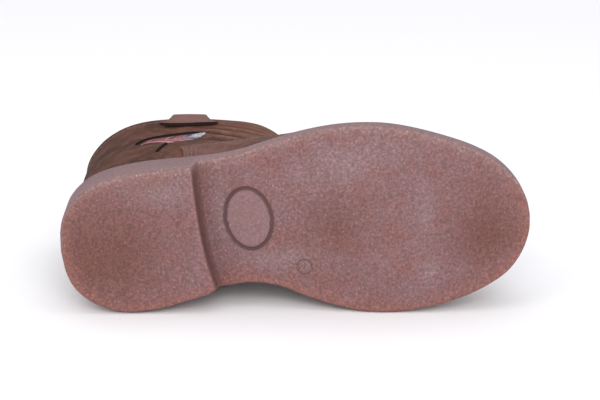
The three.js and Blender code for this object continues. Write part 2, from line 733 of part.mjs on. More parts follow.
const points = everyPoint();
boot.quaternion.copy(restTurn(points));
const box = new THREE.Box3().setFromPoints(points.map((p) => p.clone().applyQuaternion(boot.quaternion)));
const middle = box.getCenter(new THREE.Vector3());
boot.position.set(-middle.x, -middle.y, -box.min.z);

const lyingBoot = new THREE.Group();
lyingBoot.add(boot);

export default lyingBoot;
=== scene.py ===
# %% [markdown]
# # A child's pull-on ankle boot
#
# The boot lies on its inner side with the tread turned to the camera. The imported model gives
# every solid its place and size. Blender dresses it: each soft or moulded piece is built again
# as a finer mesh from the same sizes, and gets the finish of its real material.

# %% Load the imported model
import math

import bmesh
import bpy
import numpy as np
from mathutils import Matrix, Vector


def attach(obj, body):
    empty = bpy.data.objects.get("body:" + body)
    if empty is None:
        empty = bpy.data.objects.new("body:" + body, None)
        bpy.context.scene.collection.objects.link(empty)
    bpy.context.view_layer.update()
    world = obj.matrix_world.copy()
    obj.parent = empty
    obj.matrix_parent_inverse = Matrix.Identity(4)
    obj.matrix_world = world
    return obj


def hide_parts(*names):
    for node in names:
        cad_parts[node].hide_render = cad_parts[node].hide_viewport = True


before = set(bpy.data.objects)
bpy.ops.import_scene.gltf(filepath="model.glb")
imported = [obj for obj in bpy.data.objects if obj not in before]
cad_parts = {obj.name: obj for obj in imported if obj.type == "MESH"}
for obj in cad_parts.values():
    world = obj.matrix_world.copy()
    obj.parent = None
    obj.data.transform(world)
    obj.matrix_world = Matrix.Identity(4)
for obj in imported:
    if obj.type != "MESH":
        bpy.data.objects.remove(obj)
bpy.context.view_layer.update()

# %% [markdown]
# ## The camera
#
# The photograph is taken with a long lens from a little above the floor. A camera is fixed by
# the point it looks at, its distance and two angles, which is easier to tune than a raw place
# and rotation. The lens follows from the size of the boot in the picture.

# %% Camera
LOOK_AT = Vector((0.00245, -0.00197, 0.0333))
DISTANCE = 0.955
AZIMUTH = math.radians(-1)
ELEVATION = math.radians(16.2)
LENS = 134.4  # mm, on a sensor 36 mm wide

away = Vector((
    math.sin(AZIMUTH) * math.cos(ELEVATION),
    -math.cos(AZIMUTH) * math.cos(ELEVATION),
    math.sin(ELEVATION),
))
camera_data = bpy.data.cameras.new("camera")
camera_data.lens = LENS
camera_data.sensor_width = 36
camera_data.sensor_fit = "HORIZONTAL"
camera = bpy.data.objects.new("camera", camera_data)
camera.location = LOOK_AT + away * DISTANCE
camera.rotation_euler = away.to_track_quat("Z", "Y").to_euler()
bpy.context.collection.objects.link(camera)
bpy.context.scene.camera = camera
print("camera at", [round(v, 3) for v in camera.location])

# %% [markdown]
# ## The boot's own frame
#
# A shoemaker thinks of a boot standing on the floor, so all its sizes are in millimetres along
# its own axes: forward from the heel, in towards the other foot, and up. One function lays
# finished points down beside the camera, in metres.

# %% From the boot's frame to the scene
MM = 0.001
HEEL_BACK = np.array((-95.288, -52.358, 26.566))  # mm, back of the heel on the ground
FORWARD = (0.994587, 0.0, 0.103903)
INWARD = (0.103827, -0.038404, -0.993854)
UPWARD = (0.003990, 0.999262, -0.038196)
AXES = np.array((FORWARD, INWARD, UPWARD))


def lay_down(points):
    """Points of the boot in mm, to places in the scene in metres."""
    return (HEEL_BACK + np.asarray(points) @ AXES) * MM


print("tip of the toe at", lay_down((191, 0, 0)).round(4))

# %% [markdown]
# ## Sizes and tables
#
# The same few sizes and tables shape the solids and these finer meshes. A table has named
# columns, and a smooth line through one column can be read anywhere along the boot. That keeps
# a curved last in a handful of numbers that can still be understood and changed.

# %% Sizes
SOLE_LENGTH = 191
BALL_WIDTH = 78.2
SEAT_HEIGHT = 22.5
BREAST_HEIGHT = 11
HEEL_LENGTH = 56.2
BREAST_SLOPE = 2.4
BREAST_SWEEP = 4.6
BALL_THICKNESS = 8.5
TOE_SPRING = 6
TOE_THICKNESS = 8
EDGE_ROUND = 1.2

FEATHER_INSET = 3.4
SHAFT_HEIGHT = 100
COLLAR_LENGTH = 97.5
COLLAR_WIDTH = 52.5
COLLAR_SHIFT = -0.03
UPPER_WALL = 1.9
GAP = 0.3

# %% Tables


def table(columns, *rows):
    """A table as a dictionary of its columns."""
    return dict(zip(columns.split(), np.array(rows, float).T))


OUTLINE = table(
    "at swell bend",
    (0, 0.86, 0.0),
    (0.03, 0.705, 0.002),
    (0.07, 0.618, 0.004),
    (0.13, 0.536, 0.005),
    (0.19, 0.468, -0.003),
    (0.26, 0.404, -0.017),
    (0.32, 0.371, -0.028),
    (0.39, 0.357, -0.044),
    (0.45, 0.381, -0.049),
    (0.51, 0.431, -0.034),
    (0.58, 0.484, -0.015),
    (0.64, 0.52, 0.001),
    (0.7, 0.543, 0.015),
    (0.77, 0.561, 0.034),
    (0.83, 0.573, 0.05),
    (0.9, 0.6, 0.066),
    (0.95, 0.632, 0.078),
    (1, 0.645, 0.086),
)
PROFILE = table(
    "at arch spring seat ball toe",
    (0, 1.02, 0, 1.1, 0, 0),
    (0.06, 1.02, 0, 1.07, 0, 0),
    (0.13, 1.02, 0, 1.01, 0, 0),
    (0.29, 1.0, 0, 0.94, 0.06, 0),
    (0.37, 0.83, 0, 0.7, 0.36, 0),
    (0.45, 0.6, 0, 0.42, 0.72, 0),
    (0.55, 0.24, 0, 0.12, 0.99, 0),
    (0.64, 0.02, 0, 0.0, 1.02, 0),
    (0.66, 0, 0, 0, 1.01, 0),
    (0.77, 0, 0, 0, 1.0, 0),
    (0.85, 0, 0.2, 0, 0.66, 0.34),
    (0.93, 0, 0.56, 0, 0.26, 0.74),
    (1, 0, 1, 0, 0, 1),
)
# Bands of the upper from its foot to its rim: feather, rand, toe box, toe top, vamp, instep,
# throat, ankle, shaft and collar.
BANDS = table(
    "sole bend collar back back_rise front front_rise tip heel waist ball toe",
    (1, 1, 0, 0.012, 0, 0.987, 0, 0.7, 0.46, 0.33, 0.49, 0.52),
    (0.85, 1, 0, 0.008, 0.1, 0.987, 0.07, 0.68, 0.455, 0.335, 0.485, 0.53),
    (0.4, 0.85, 0, 0.005, 0.2, 0.976, 0.155, 0.62, 0.45, 0.335, 0.46, 0.5),
    (0.08, 0.6, 0, 0.003, 0.32, 0.927, 0.235, 0.57, 0.445, 0.33, 0.405, 0.38),
    (0, 0.4, 0, 0.003, 0.44, 0.842, 0.32, 0.54, 0.437, 0.328, 0.352, 0.37),
    (0, 0.25, 0, 0.004, 0.56, 0.733, 0.415, 0.51, 0.43, 0.327, 0.33, 0.36),
    (0, 0.15, 0.1, 0.004, 0.68, 0.634, 0.525, 0.48, 0.425, 0.33, 0.325, 0.33),
    (0, 0.1, 0.35, 0.004, 0.79, 0.562, 0.65, 0.45, 0.415, 0.335, 0.322, 0.31),
    (0, 0.03, 0.75, 0.003, 0.9, 0.524, 0.82, 0.42, 0.4, 0.34, 0.325, 0.32),
    (0, 0, 1, 0, 1, 0.51, 1, 0.4, 0.385, 0.342, 0.325, 0.33),
)
SWELL_AT = {"tip": 0, "heel": 0.2, "waist": 0.44, "ball": 0.72, "toe": 1}
COLLAR_OVAL = table(
    "at swell",
    (0, 0.47),
    (0.05, 0.54),
    (0.12, 0.591),
    (0.2, 0.587),
    (0.31, 0.564),
    (0.45, 0.53),
    (0.6, 0.511),
    (0.7, 0.513),
    (0.78, 0.533),
    (0.86, 0.562),
    (1, 0.595),
)
print("rows:", len(OUTLINE["at"]), len(PROFILE["at"]), len(BANDS["sole"]), len(COLLAR_OVAL["at"]))

# %% A smooth line through a column


def smooth_line(places, values, at):
    """Values given at places, read along a smooth line. values may differ for each reading."""
    places = np.asarray(places, float)
    values = np.asarray(values, float)
    at = np.clip(np.asarray(at, float), places[0], places[-1])
    rows = len(places)
    flat = (rows,) + (1,) * at.ndim
    if values.ndim == 1:
        values = np.broadcast_to(values.reshape(flat), (rows,) + at.shape)
    row = np.arange(rows)
    below, above = np.maximum(row - 1, 0), np.minimum(row + 1, rows - 1)
    slopes = (values[above] - values[below]) / (places[above] - places[below]).reshape(flat)
    i = np.clip(np.searchsorted(places, at, side="left") - 1, 0, rows - 2)

    def pick(column, k):
        return np.take_along_axis(column, k[None], axis=0)[0]

    span = places[i + 1] - places[i]
    u = (at - places[i]) / span
    start, end = pick(slopes, i) * span, pick(slopes, i + 1) * span
    rise = pick(values, i + 1) - pick(values, i)
    bent = start * u + (3 * rise - 2 * start - end) * u**2 + (start + end - 2 * rise) * u**3
    return pick(values, i) + np.where(rise == 0, 0, bent)


def along(rows, key, at):
    return smooth_line(rows["at"], rows[key], at)


print("sole's swell at the ball:", along(OUTLINE, "swell", 0.7).round(3))

def bell(distance, width):
    """1 at a distance of 0, falling smoothly to nothing well past the width."""
    return np.exp(-((distance / width) ** 2))


def smooth_step(t):
    """From 0 to 1 with a level start and end."""
    return t * t * (3 - 2 * t)


# %% Outline and heights of the sole


def share(angle):
    """Share of the way from heel to toe at an angle round the foot: 0 is the back of the heel."""
    return (1 - np.cos(angle)) / 2


def angle_at(at):
    return np.arccos(1 - 2 * np.clip(at, 0, 1))


def outline(angle, inset=0):
    """Edge of the sole, drawn in towards the foot by an inset. Positive angles are inner side."""

    def edge(turn):
        at = share(turn)
        swell, bend = along(OUTLINE, "swell", at), along(OUTLINE, "bend", at)
        return np.stack([at * SOLE_LENGTH, BALL_WIDTH * (bend + swell * np.sin(turn))], -1)

    angle = np.asarray(angle, float)
    step = 0.01
    run = edge(angle + step) - edge(angle - step)
    run /= np.linalg.norm(run, axis=-1, keepdims=True)
    inward = np.stack([run[..., 1], -run[..., 0]], -1)
    return edge(angle) + inward * np.asarray(inset, float)[..., None]


def sole_top(x):
    at = np.clip(x / SOLE_LENGTH, 0, 1)
    seat = SEAT_HEIGHT * along(PROFILE, "seat", at)
    ball = BALL_THICKNESS * along(PROFILE, "ball", at)
    return seat + ball + (TOE_SPRING + TOE_THICKNESS) * along(PROFILE, "toe", at)


def arch_height(at):
    return BREAST_HEIGHT * along(PROFILE, "arch", at) + TOE_SPRING * along(PROFILE, "spring", at)


print("sole is", sole_top(np.array([20.0, 140.0])).round(1), "mm high at heel and ball")

# %% [markdown]
# ## Helpers for meshes
#
# Each piece is a grid of points, so one helper joins a grid into four-sided faces and another
# makes the object, shades it smooth and registers it with the frame. Building from arrays is
# quick, and the point spacing is known in millimetres.

# %% Grids and objects


def grid_faces(rows, columns, first=0, closed=False, flipped=False):
    """Quads of a grid of points numbered row by row. closed joins the last column to the first."""
    r, c = np.meshgrid(np.arange(rows - 1), np.arange(columns - (not closed)), indexing="ij")
    d = (c + 1) % columns
    near, far = r * columns, (r + 1) * columns
    quads = np.stack([near + c, near + d, far + d, far + c], -1)
    quads = quads.reshape(-1, 4) + first
    return quads[:, ::-1] if flipped else quads


def sheet_faces(rows, columns, flipped=False):
    """Faces of a sheet: an upper layer, a lower layer and the edge that joins them."""
    count = rows * columns
    border = np.concatenate([
        np.arange(columns),
        np.arange(1, rows) * columns + columns - 1,
        (rows - 1) * columns + np.arange(columns - 1)[::-1],
        np.arange(1, rows - 1)[::-1] * columns,
    ])
    following = np.roll(border, -1)
    edges = np.stack([border, border + count, following + count, following], -1)
    return np.concatenate([
        grid_faces(rows, columns, flipped=flipped),
        grid_faces(rows, columns, first=count, flipped=not flipped),
        edges[:, [0, 3, 2, 1]] if flipped else edges,
    ])


def make_object(name, points, faces, materials, face_slots=None, sharp=40, marks=None):
    """A smooth-shaded mesh from points in the boot's frame. marks are values kept per point."""
    mesh = bpy.data.meshes.new(name)
    mesh.from_pydata(lay_down(points).tolist(), [], [list(map(int, face)) for face in faces])
    for material in materials:
        mesh.materials.append(material)
    if face_slots is not None:
        mesh.polygons.foreach_set("material_index", np.asarray(face_slots, np.int32))
    for key, values in (marks or {}).items():
        mark = mesh.attributes.new(key, "FLOAT", "POINT")
        mark.data.foreach_set("value", np.asarray(values, np.float32))
    mesh.validate()
    shell = bmesh.new()
    shell.from_mesh(mesh)
    bmesh.ops.recalc_face_normals(shell, faces=shell.faces)  # every face looks outwards
    shell.to_mesh(mesh)
    shell.free()
    mesh.shade_smooth()
    mesh.set_sharp_from_angle(angle=math.radians(sharp))
    made = bpy.data.objects.new(name, mesh)
    bpy.context.collection.objects.link(made)
    print(name, len(mesh.vertices), "points", len(mesh.polygons), "faces")
    return made


def register(piece, slot, *nodes):
    """The piece rides with the boot and stands for solids, which are hidden. slot is not used."""
    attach(piece, "root")
    if nodes:
        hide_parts(*nodes)


# %% [markdown]
# ## Helpers for materials
#
# A material is a small graph of nodes. One function adds a node with its settings and whatever
# feeds it, and another turns the familiar sRGB hex colours into the linear ones that Cycles
# adds and multiplies. A pattern's scale comes from its real size.

# %% Nodes and colours


def linear(hex_colour):
    """An sRGB hex colour as linear RGBA."""
    channels = [int(hex_colour[i : i + 2], 16) / 255 for i in (1, 3, 5)]
    plain = [c / 12.92 if c <= 0.04045 else ((c + 0.055) / 1.055) ** 2.4 for c in channels]
    return (*plain, 1)


def add_node(tree, kind, inputs=None, **settings):
    """Adds a node. inputs maps a socket's name or number to a value or to the socket feeding it."""
    node = tree.nodes.new(kind)
    for key, value in settings.items():
        setattr(node, key, value)
    for key, value in (inputs or {}).items():
        if isinstance(value, bpy.types.NodeSocket):
            tree.links.new(value, node.inputs[key])
        else:
            node.inputs[key].default_value = value
    return node


def new_material(name):
    """An empty material: its node tree, its surface shader and coordinates in metres."""
    material = bpy.data.materials.new(name)
    material.use_nodes = True
    tree = material.node_tree
    tree.nodes.clear()
    shader = add_node(tree, "ShaderNodeBsdfPrincipled")
    add_node(tree, "ShaderNodeOutputMaterial", {"Surface": shader.outputs[0]})
    place = add_node(tree, "ShaderNodeTexCoord").outputs["Object"]
    return material, tree, shader, place


def per_metre(size_mm):
    """Scale of a pattern whose grain has this size."""
    return 1000 / size_mm


print("a 1.1 mm grain has scale", round(per_metre(1.1)))

# %% Short names for common nodes
# Each adds one node and returns its socket, so a material reads as a chain of steps.


def noise(tree, place, size, detail, roughness=0.5, distortion=0.0):
    """A cloudy pattern from 0 to 1, with patches of about this size in mm."""
    inputs = {"Vector": place, "Scale": per_metre(size), "Detail": detail}
    inputs.update({"Roughness": roughness, "Distortion": distortion})
    return add_node(tree, "ShaderNodeTexNoise", inputs).outputs["Fac"]


def grains(tree, place, size, randomness):
    """Distance to the nearest of many points that lie about size mm apart."""
    inputs = {"Vector": place, "Scale": per_metre(size), "Randomness": randomness}
    return add_node(tree, "ShaderNodeTexVoronoi", inputs).outputs["Distance"]


def stretch(tree, value, low, high, start=0.0, end=1.0):
    """The span from low to high becomes start to end, and is held there."""
    inputs = {"Value": value, "From Min": low, "From Max": high, "To Min": start, "To Max": end}
    return add_node(tree, "ShaderNodeMapRange", inputs).outputs[0]


def blend(tree, factor, first, second):
    """A mix of two colours, each a hex code or the socket of a node."""
    first, second = (linear(c) if isinstance(c, str) else c for c in (first, second))
    inputs = {0: factor, 6: first, 7: second}
    return add_node(tree, "ShaderNodeMix", inputs, data_type="RGBA").outputs[2]


def maths(tree, operation, *values, **settings):
    inputs = dict(enumerate(values))
    return add_node(tree, "ShaderNodeMath", inputs, operation=operation, **settings).outputs[0]


def brighten(tree, colour, factor):
    inputs = {0: colour, 3: factor}
    return add_node(tree, "ShaderNodeVectorMath", inputs, operation="SCALE").outputs[0]


def stored(tree, key):
    """A value kept on the points of the mesh."""
    return add_node(tree, "ShaderNodeAttribute", attribute_name=key).outputs["Fac"]


def dress(tree, shader, colour, finish, height=None, strength=0.5, depth=0.0):
    """Joins a colour and a relief, its depth in mm, to the shader and sets its constants."""
    tree.links.new(colour, shader.inputs["Base Color"])
    if height is not None:
        inputs = {"Height": height, "Strength": strength, "Distance": depth * MM}
        bump = add_node(tree, "ShaderNodeBump", inputs)
        tree.links.new(bump.outputs[0], shader.inputs["Normal"])
    for socket, value in finish.items():
        shader.inputs[socket].default_value = value


print("mid grey is", round(linear("#808080")[0], 3), "in linear light")

# %% [markdown]
# ## Rubber of the sole
#
# The sole is moulded in one shot from a light thermoplastic rubber with a crepe grain. Such
# rubber is matt, with an index of refraction near 1.5. Its colour isn't even: pale and dark
# specks about a millimetre across, cloudy red and lilac patches where it has worn, an orange
# tint at its thin edge, partly dirt and partly a painted glow of light through the thin rubber,
# and a greyer moulded side. Light is painted in as well: painted shade at the foot of the
# heel's front and a painted highlight along the heel's front edge. The grooves are painted
# darker. The specks are noise textures. The patches follow marks stored on the points of the
# mesh, because they belong to places on the tread.

# %% Crepe rubber
GRAIN = 1.05  # mm, specks of the rubber
FINE_GRAIN = 0.55
GRIT = 1.5  # mm between pale grains
CLOUD = 11

# A mark pulls the colour towards its tint, in this order.
# edge is partly a painted glow of light through the thin rubber, pale and edge also carry a painted
# highlight along the heel's front edge, and shade is painted shade at the heel's front.
MARK_TINTS = {
    "worn": "#6a443e", "pale": "#856c6d", "oval": "#836566", "edge": "#87584f", "side": "#7f6466",
    "lip": "#8b706e", "shade": "#5f3f3a",
}

crepe_rubber, tree, shader, place = new_material("moulded_crepe_rubber")
cloudy = stretch(tree, noise(tree, place, CLOUD, 2.5, 0.55), 0.36, 0.64)
tinted = blend(tree, cloudy, "#7a5552", "#7b5d5f")
marks = {key: stored(tree, key) for key in MARK_TINTS}
for key, tint in MARK_TINTS.items():
    tinted = blend(tree, marks[key], tinted, tint)

speck = stretch(tree, noise(tree, place, GRAIN, 2.0), 0.34, 0.66, 0.77, 1.23)
fine_speck = stretch(tree, noise(tree, place, FINE_GRAIN, 2.0), 0.3, 0.7, 0.93, 1.07)
pale_grit = stretch(tree, grains(tree, place, GRIT, 1.0), 0.1, 0.38, 1.34, 0.965)
gritty = maths(tree, "MULTIPLY", fine_speck, pale_grit)
specks = maths(tree, "MULTIPLY", speck, gritty)

# %% Plain places and the rubber's surface
# The moulded side and the oval are plainer than the tread: there the specks are weaker.
plain = maths(tree, "MULTIPLY_ADD", marks["side"], 0.4, marks["oval"])
calm = stretch(tree, plain, 0.0, 1.0, 1.0, 0.5)
strength = add_node(
    tree, "ShaderNodeMix", {0: calm, 2: 1.0, 3: specks}, data_type="FLOAT"
).outputs[0]
speckled = brighten(tree, tinted, strength)
# The grooves are painted darker.
rubber_colour = blend(tree, stored(tree, "groove"), speckled, "#53393a")
relief = maths(tree, "MULTIPLY", specks, calm)
rubber_finish = {"Roughness": 0.72, "IOR": 1.5, "Specular IOR Level": 0.35}
dress(tree, shader, rubber_colour, rubber_finish, relief, 0.4, 0.2)
print(crepe_rubber.name, len(tree.nodes), "nodes")

# %% [markdown]
# ## The sole
#
# A moulded sole is a thick plate with a heel, an arch and a lifted toe. Here its tread is one
# grid from side to side, with rows pressed together at the front of the heel and round the two
# moulded marks, so that their grooves are real hollows. Rings round the grid roll over the
# edge and climb the side.

# %% Rows of the tread
# Middle, sizes and turn of each moulded mark, half the width of its groove, and how much
# darker its groove is painted.
OVAL = {"x": 76.7, "y": -3.5, "long": 25.6, "wide": 18.9, "groove": 0.85, "turn": math.radians(-4),
        "darkening": 1.0}
RING = {"x": 97.4, "y": 18.2, "long": 6.0, "wide": 6.0, "groove": 0.4, "turn": 0.0, "darkening": 0.3}
BREAST_AT = HEEL_LENGTH / SOLE_LENGTH
SLOPE_SHARE = BREAST_SLOPE / SOLE_LENGTH

# Rows crowd where the oval, the ring and the front of the heel need fine points.
stations = np.concatenate([
    share(np.linspace(0, math.pi, 231)[1:-1]),
    np.arange(64, 90, 0.5) / SOLE_LENGTH,
    np.arange(94, 102.4, 0.19) / SOLE_LENGTH,
    BREAST_AT + np.arange(-1.6, 4.2, 0.22) / SOLE_LENGTH,
])
stations = np.unique(stations.round(6))
stations = stations[np.concatenate([[True], np.diff(stations) > 0.12 / SOLE_LENGTH])]
columns = np.concatenate([
    np.linspace(0, 0.72, 105)[:-1],
    np.linspace(0.72, 0.88, 62)[:-1],
    np.linspace(0.88, 1, 18),
])
print(len(stations), "rows of", len(columns), "points")

# %% Height of the tread
ARCH_CORNER = 4.0  # mm of height over which the heel's front runs into the arch
HEEL_CORNER = 1.3  # the same at the heel's lower edge
SWEEP_REACH = 0.055  # share of the length over which the sweep fades


def soft_min(a, b, reach):
    """The smaller of two heights, with a rounded corner where they cross."""
    near = np.clip(reach - np.abs(a - b), 0, None) / reach
    return np.minimum(a, b) - near * near * reach / 4


def tread(at):
    """Underside of the sole: flat heel, sloping front of the heel, arch, ball and toe."""
    arch = arch_height(at)
    slope = arch * (at - BREAST_AT) / SLOPE_SHARE
    step = soft_min(slope, arch, ARCH_CORNER)
    return -soft_min(-step, np.zeros_like(step), HEEL_CORNER)


def swept(at):
    """The heel is longer on the inner side: how far a row moves forward there."""
    near = np.clip(1 - np.abs(at - BREAST_AT - SLOPE_SHARE / 2) / SWEEP_REACH, 0, 1)
    return at + BREAST_SWEEP / SOLE_LENGTH * smooth_step(near)


def corner_inset(at):
    """The heel's front inner corner is rounded: how far its lower edge draws in there, in mm."""
    past = (at - BREAST_AT) * SOLE_LENGTH - 0.7
    return 1.9 * bell(past, np.where(past < 0, 2.2, 1.3)) + 0.35 * bell(past + 4.7, 3)


def mark_curve(mark, steps=360):
    """Middle line of a moulded oval or ring."""
    turn = np.linspace(0, 2 * math.pi, steps, endpoint=False)
    x, y = mark["wide"] / 2 * np.cos(turn), mark["long"] / 2 * np.sin(turn)
    c, s = math.cos(mark["turn"]), math.sin(mark["turn"])
    return np.stack([mark["x"] + x * c - y * s, mark["y"] + x * s + y * c], -1)


def nearest(points, curve):
    """Distance from each point to a curve given by close points."""
    best = np.full(len(points), np.inf)
    for start in range(0, len(points), 20000):
        part = points[start : start + 20000]
        gaps = part[:, None, :] - curve[None, :, :]
        best[start : start + 20000] = np.sqrt((gaps**2).sum(-1).min(1))
    return best


print("front of the heel rises", tread(np.array([0.28, 0.31])).round(1), "mm")

# %% Points of the tread
outer_angle, inner_angle = -angle_at(stations), angle_at(swept(stations))
around = np.concatenate([[0], inner_angle, [math.pi], outer_angle[::-1]])
around_at = np.concatenate([[0], stations, [1], stations[::-1]])
corner = np.concatenate([[0], corner_inset(stations), [0], np.zeros(len(stations))])


def sole_ring(inset, height, rounded=0):
    """A ring of the side. rounded is its share in the rounding of the heel's corner."""
    return np.column_stack([outline(around, inset + rounded * corner), height])


low = tread(around_at)
outer_edge = outline(outer_angle, np.full(outer_angle.shape, EDGE_ROUND))
inner_edge = outline(inner_angle, EDGE_ROUND + corner_inset(stations))
grid_x = outer_edge[:, None, 0] + (inner_edge - outer_edge)[:, None, 0] * columns**3
grid_y = outer_edge[:, None, 1] + (inner_edge - outer_edge)[:, None, 1] * columns
flat = np.stack([grid_x.ravel(), grid_y.ravel()], -1)
height = np.repeat(tread(stations), len(columns))
hollow = np.zeros(len(flat))
for mark in (OVAL, RING):
    close = np.hypot(flat[:, 0] - mark["x"], flat[:, 1] - mark["y"]) < mark["long"]
    reach = nearest(flat[close], mark_curve(mark))
    depth = np.sqrt(np.clip(mark["groove"] ** 2 - reach**2, 0, None))
    hollow[close] += mark["darkening"] * depth / mark["groove"]
    height[close] += depth
print("points in the grooves:", int((hollow > 0).sum()))

# %% Size number in the ring
# Plain digits, a 2 and an 8, as strokes in a box one unit high, read from below.
DIGITS = {
    "2": [(0.06, 0.78), (0.25, 0.98), (0.5, 0.86), (0.46, 0.56), (0.04, 0.04), (0.54, 0.04)],
    "8": [(0.3, 0.52), (0.08, 0.76), (0.3, 0.98), (0.52, 0.76), (0.3, 0.52), (0.04, 0.25),
          (0.3, 0.02), (0.56, 0.25), (0.3, 0.52)],
}
DIGIT_HEIGHT = 2.7
DIGIT_STROKE = 0.24


def digit_line(strokes, left):
    """Close points along a digit's strokes, drawn on the tread."""
    corners = np.array(strokes)
    steps = np.linspace(0, len(corners) - 1, 120)
    x, y = (smooth_line(np.arange(len(corners)), corners[:, i], steps) for i in (0, 1))
    x, y = (left + x) * DIGIT_HEIGHT, (y - 0.5) * DIGIT_HEIGHT
    return np.stack([RING["x"] + x, RING["y"] - y], -1)


number = np.concatenate([digit_line(DIGITS["2"], -0.66), digit_line(DIGITS["8"], 0.06)])
close = np.hypot(flat[:, 0] - RING["x"], flat[:, 1] - RING["y"]) < RING["wide"] / 2
stroke = bell(nearest(flat[close], number), DIGIT_STROKE)
height[close] -= 0.25 * stroke
digit_mark = np.zeros(len(flat))
digit_mark[close] = stroke

# %% Marks for the rubber's colours
rim = outline(np.linspace(-math.pi, math.pi, 721))


def spot(x, y, long, wide, turn=0.0):
    """A soft oval patch: 1 at its middle, falling to nothing at its edge."""
    c, s = math.cos(math.radians(turn)), math.sin(math.radians(turn))
    dx, dy = flat[:, 0] - x, flat[:, 1] - y
    return np.exp(-(((dx * c + dy * s) / long) ** 2 + ((dy * c - dx * s) / wide) ** 2))


# Middle, half sizes and turn of each patch, and for the worn ones their strength.
WORN_SPOTS = [(20, 6, 20, 18, 0, 0.85), (172, 12, 14, 12, 20, 0.85), (112, 0, 12, 14, 0, 0.75),
              (26, -10, 36, 30, 0, 0.3), (4, -4, 10, 26, 0, 0.3), (178, 2, 20, 34, 0, 0.25)]
PALE_SPOTS = [(42, -20, 11, 5, 0), (118, -24, 22, 9, -12), (149, 0, 3, 9, 8), (148, 24, 3, 5, 30),
              (86, 14, 14, 4, 0), (66, -8, 5, 13, 0)]
worn = np.clip(sum(row[5] * spot(*row[:5]) for row in WORN_SPOTS), 0, 1)
pale = np.clip(sum(0.6 * spot(*row) for row in PALE_SPOTS), 0, 1)
edge_reach = nearest(flat, rim)
inner_side = np.clip((flat[:, 1] + 26) / 30, 0, 1)
# Orange tint along the rim, stronger on the inner side: partly dirt, partly a painted glow of light
# through the thin rubber.
edge = bell(edge_reach, 4.2) * (0.25 + 0.45 * inner_side)
turned_x, turned_y = flat[:, 0] - OVAL["x"], flat[:, 1] - OVAL["y"]
inside_oval = (turned_x / (OVAL["wide"] / 2)) ** 2 + (turned_y / (OVAL["long"] / 2)) ** 2 < 0.9
past_heel = (np.repeat(stations, len(columns)) - BREAST_AT) * SOLE_LENGTH  # mm
# Painted shade at the foot of the heel's front: darkest at the heel's edge, narrower towards the
# inner side, and fading near the rim on the outer side.
shade_reach = 1.3 - 0.6 * np.clip((flat[:, 1] - 2) / 22, 0, 1)
into_corner = np.clip(past_heel - 0.4, 0, None)
shade = np.clip((past_heel + 0.05) / 0.35, 0, 1) * bell(into_corner, shade_reach)
shade *= np.where(flat[:, 1] < 0, np.clip(edge_reach / 4, 0.2, 1), 1)
# A painted highlight along the heel's front edge, added to the pale and edge marks.
lip = bell(past_heel + 0.5, 0.5)
pale = np.clip(pale + 0.45 * lip, 0, 1)
edge = np.clip(edge + 0.4 * lip, 0, 1)
outer_rim = 0.5 * bell(edge_reach - 1, 2.2) * np.clip((-flat[:, 1]) / 12, 0, 1)
outer_rim *= np.clip(flat[:, 0] / 25, 0, 1)
pale = np.clip(pale + 0.7 * digit_mark, 0, 1)
print("worn", worn.mean().round(3), "pale", pale.mean().round(3))

# %% Sole mesh
ROUND_STEPS = 5
WALL_STEPS = 9
TOP_ROUND = 0.8  # mm, round of the sole's upper edge
UNDER_FOOT = FEATHER_INSET + 6  # mm, from the sole's edge in to its last ring
rings, wall_share = [], []
for i in range(1, ROUND_STEPS + 1):
    roll = math.pi / 2 * i / ROUND_STEPS
    rolled = low + EDGE_ROUND * (1 - math.cos(roll))
    rings.append(sole_ring(EDGE_ROUND * (1 - math.sin(roll)), rolled, 1))
    wall_share.append(0.15 * i / ROUND_STEPS)
top_line = sole_top(outline(around)[:, 0])
wall_height = top_line - TOP_ROUND - low - EDGE_ROUND
for i in range(1, WALL_STEPS + 1):
    up = i / WALL_STEPS
    rings.append(sole_ring(0, low + EDGE_ROUND + wall_height * up, (1 - up) ** 2))
    wall_share.append(0.15 + 0.85 * min(1, up * 2.4))
rings.append(sole_ring(0.24, top_line - 0.24))
rings.append(sole_ring(TOP_ROUND, top_line))
under_foot = sole_top(outline(around, np.full(around.shape, UNDER_FOOT))[:, 0])
rings.append(sole_ring(UNDER_FOOT, under_foot))
wall_share += [1, 1, 1]

tread_points = np.column_stack([flat, height])
rows, wide = len(stations), len(columns)
heel_tip = np.array([[*outline(0.0, EDGE_ROUND), low[0]]])
toe_tip = np.array([[*outline(math.pi, EDGE_ROUND), low[rows + 1]]])
sole_points = np.concatenate([tread_points, heel_tip, toe_tip, *rings])
heel_id, toe_id = rows * wide, rows * wide + 1
first_ring = rows * wide + 2
count = len(around)

border = np.concatenate([
    [heel_id],
    np.arange(rows) * wide + wide - 1,
    [toe_id],
    (np.arange(rows) * wide)[::-1],
])
sole_faces = grid_faces(rows, wide, flipped=True).tolist()
sole_faces += [(heel_id, c, c + 1) for c in range(wide - 1)]
sole_faces += [(toe_id, (rows - 1) * wide + c + 1, (rows - 1) * wide + c) for c in range(wide - 1)]
lower = border
for k in range(len(rings)):
    upper_ring = first_ring + k * count + np.arange(count)
    for i in range(count):
        j = (i + 1) % count
        sole_faces.append((lower[i], lower[j], upper_ring[j], upper_ring[i]))
    lower = upper_ring

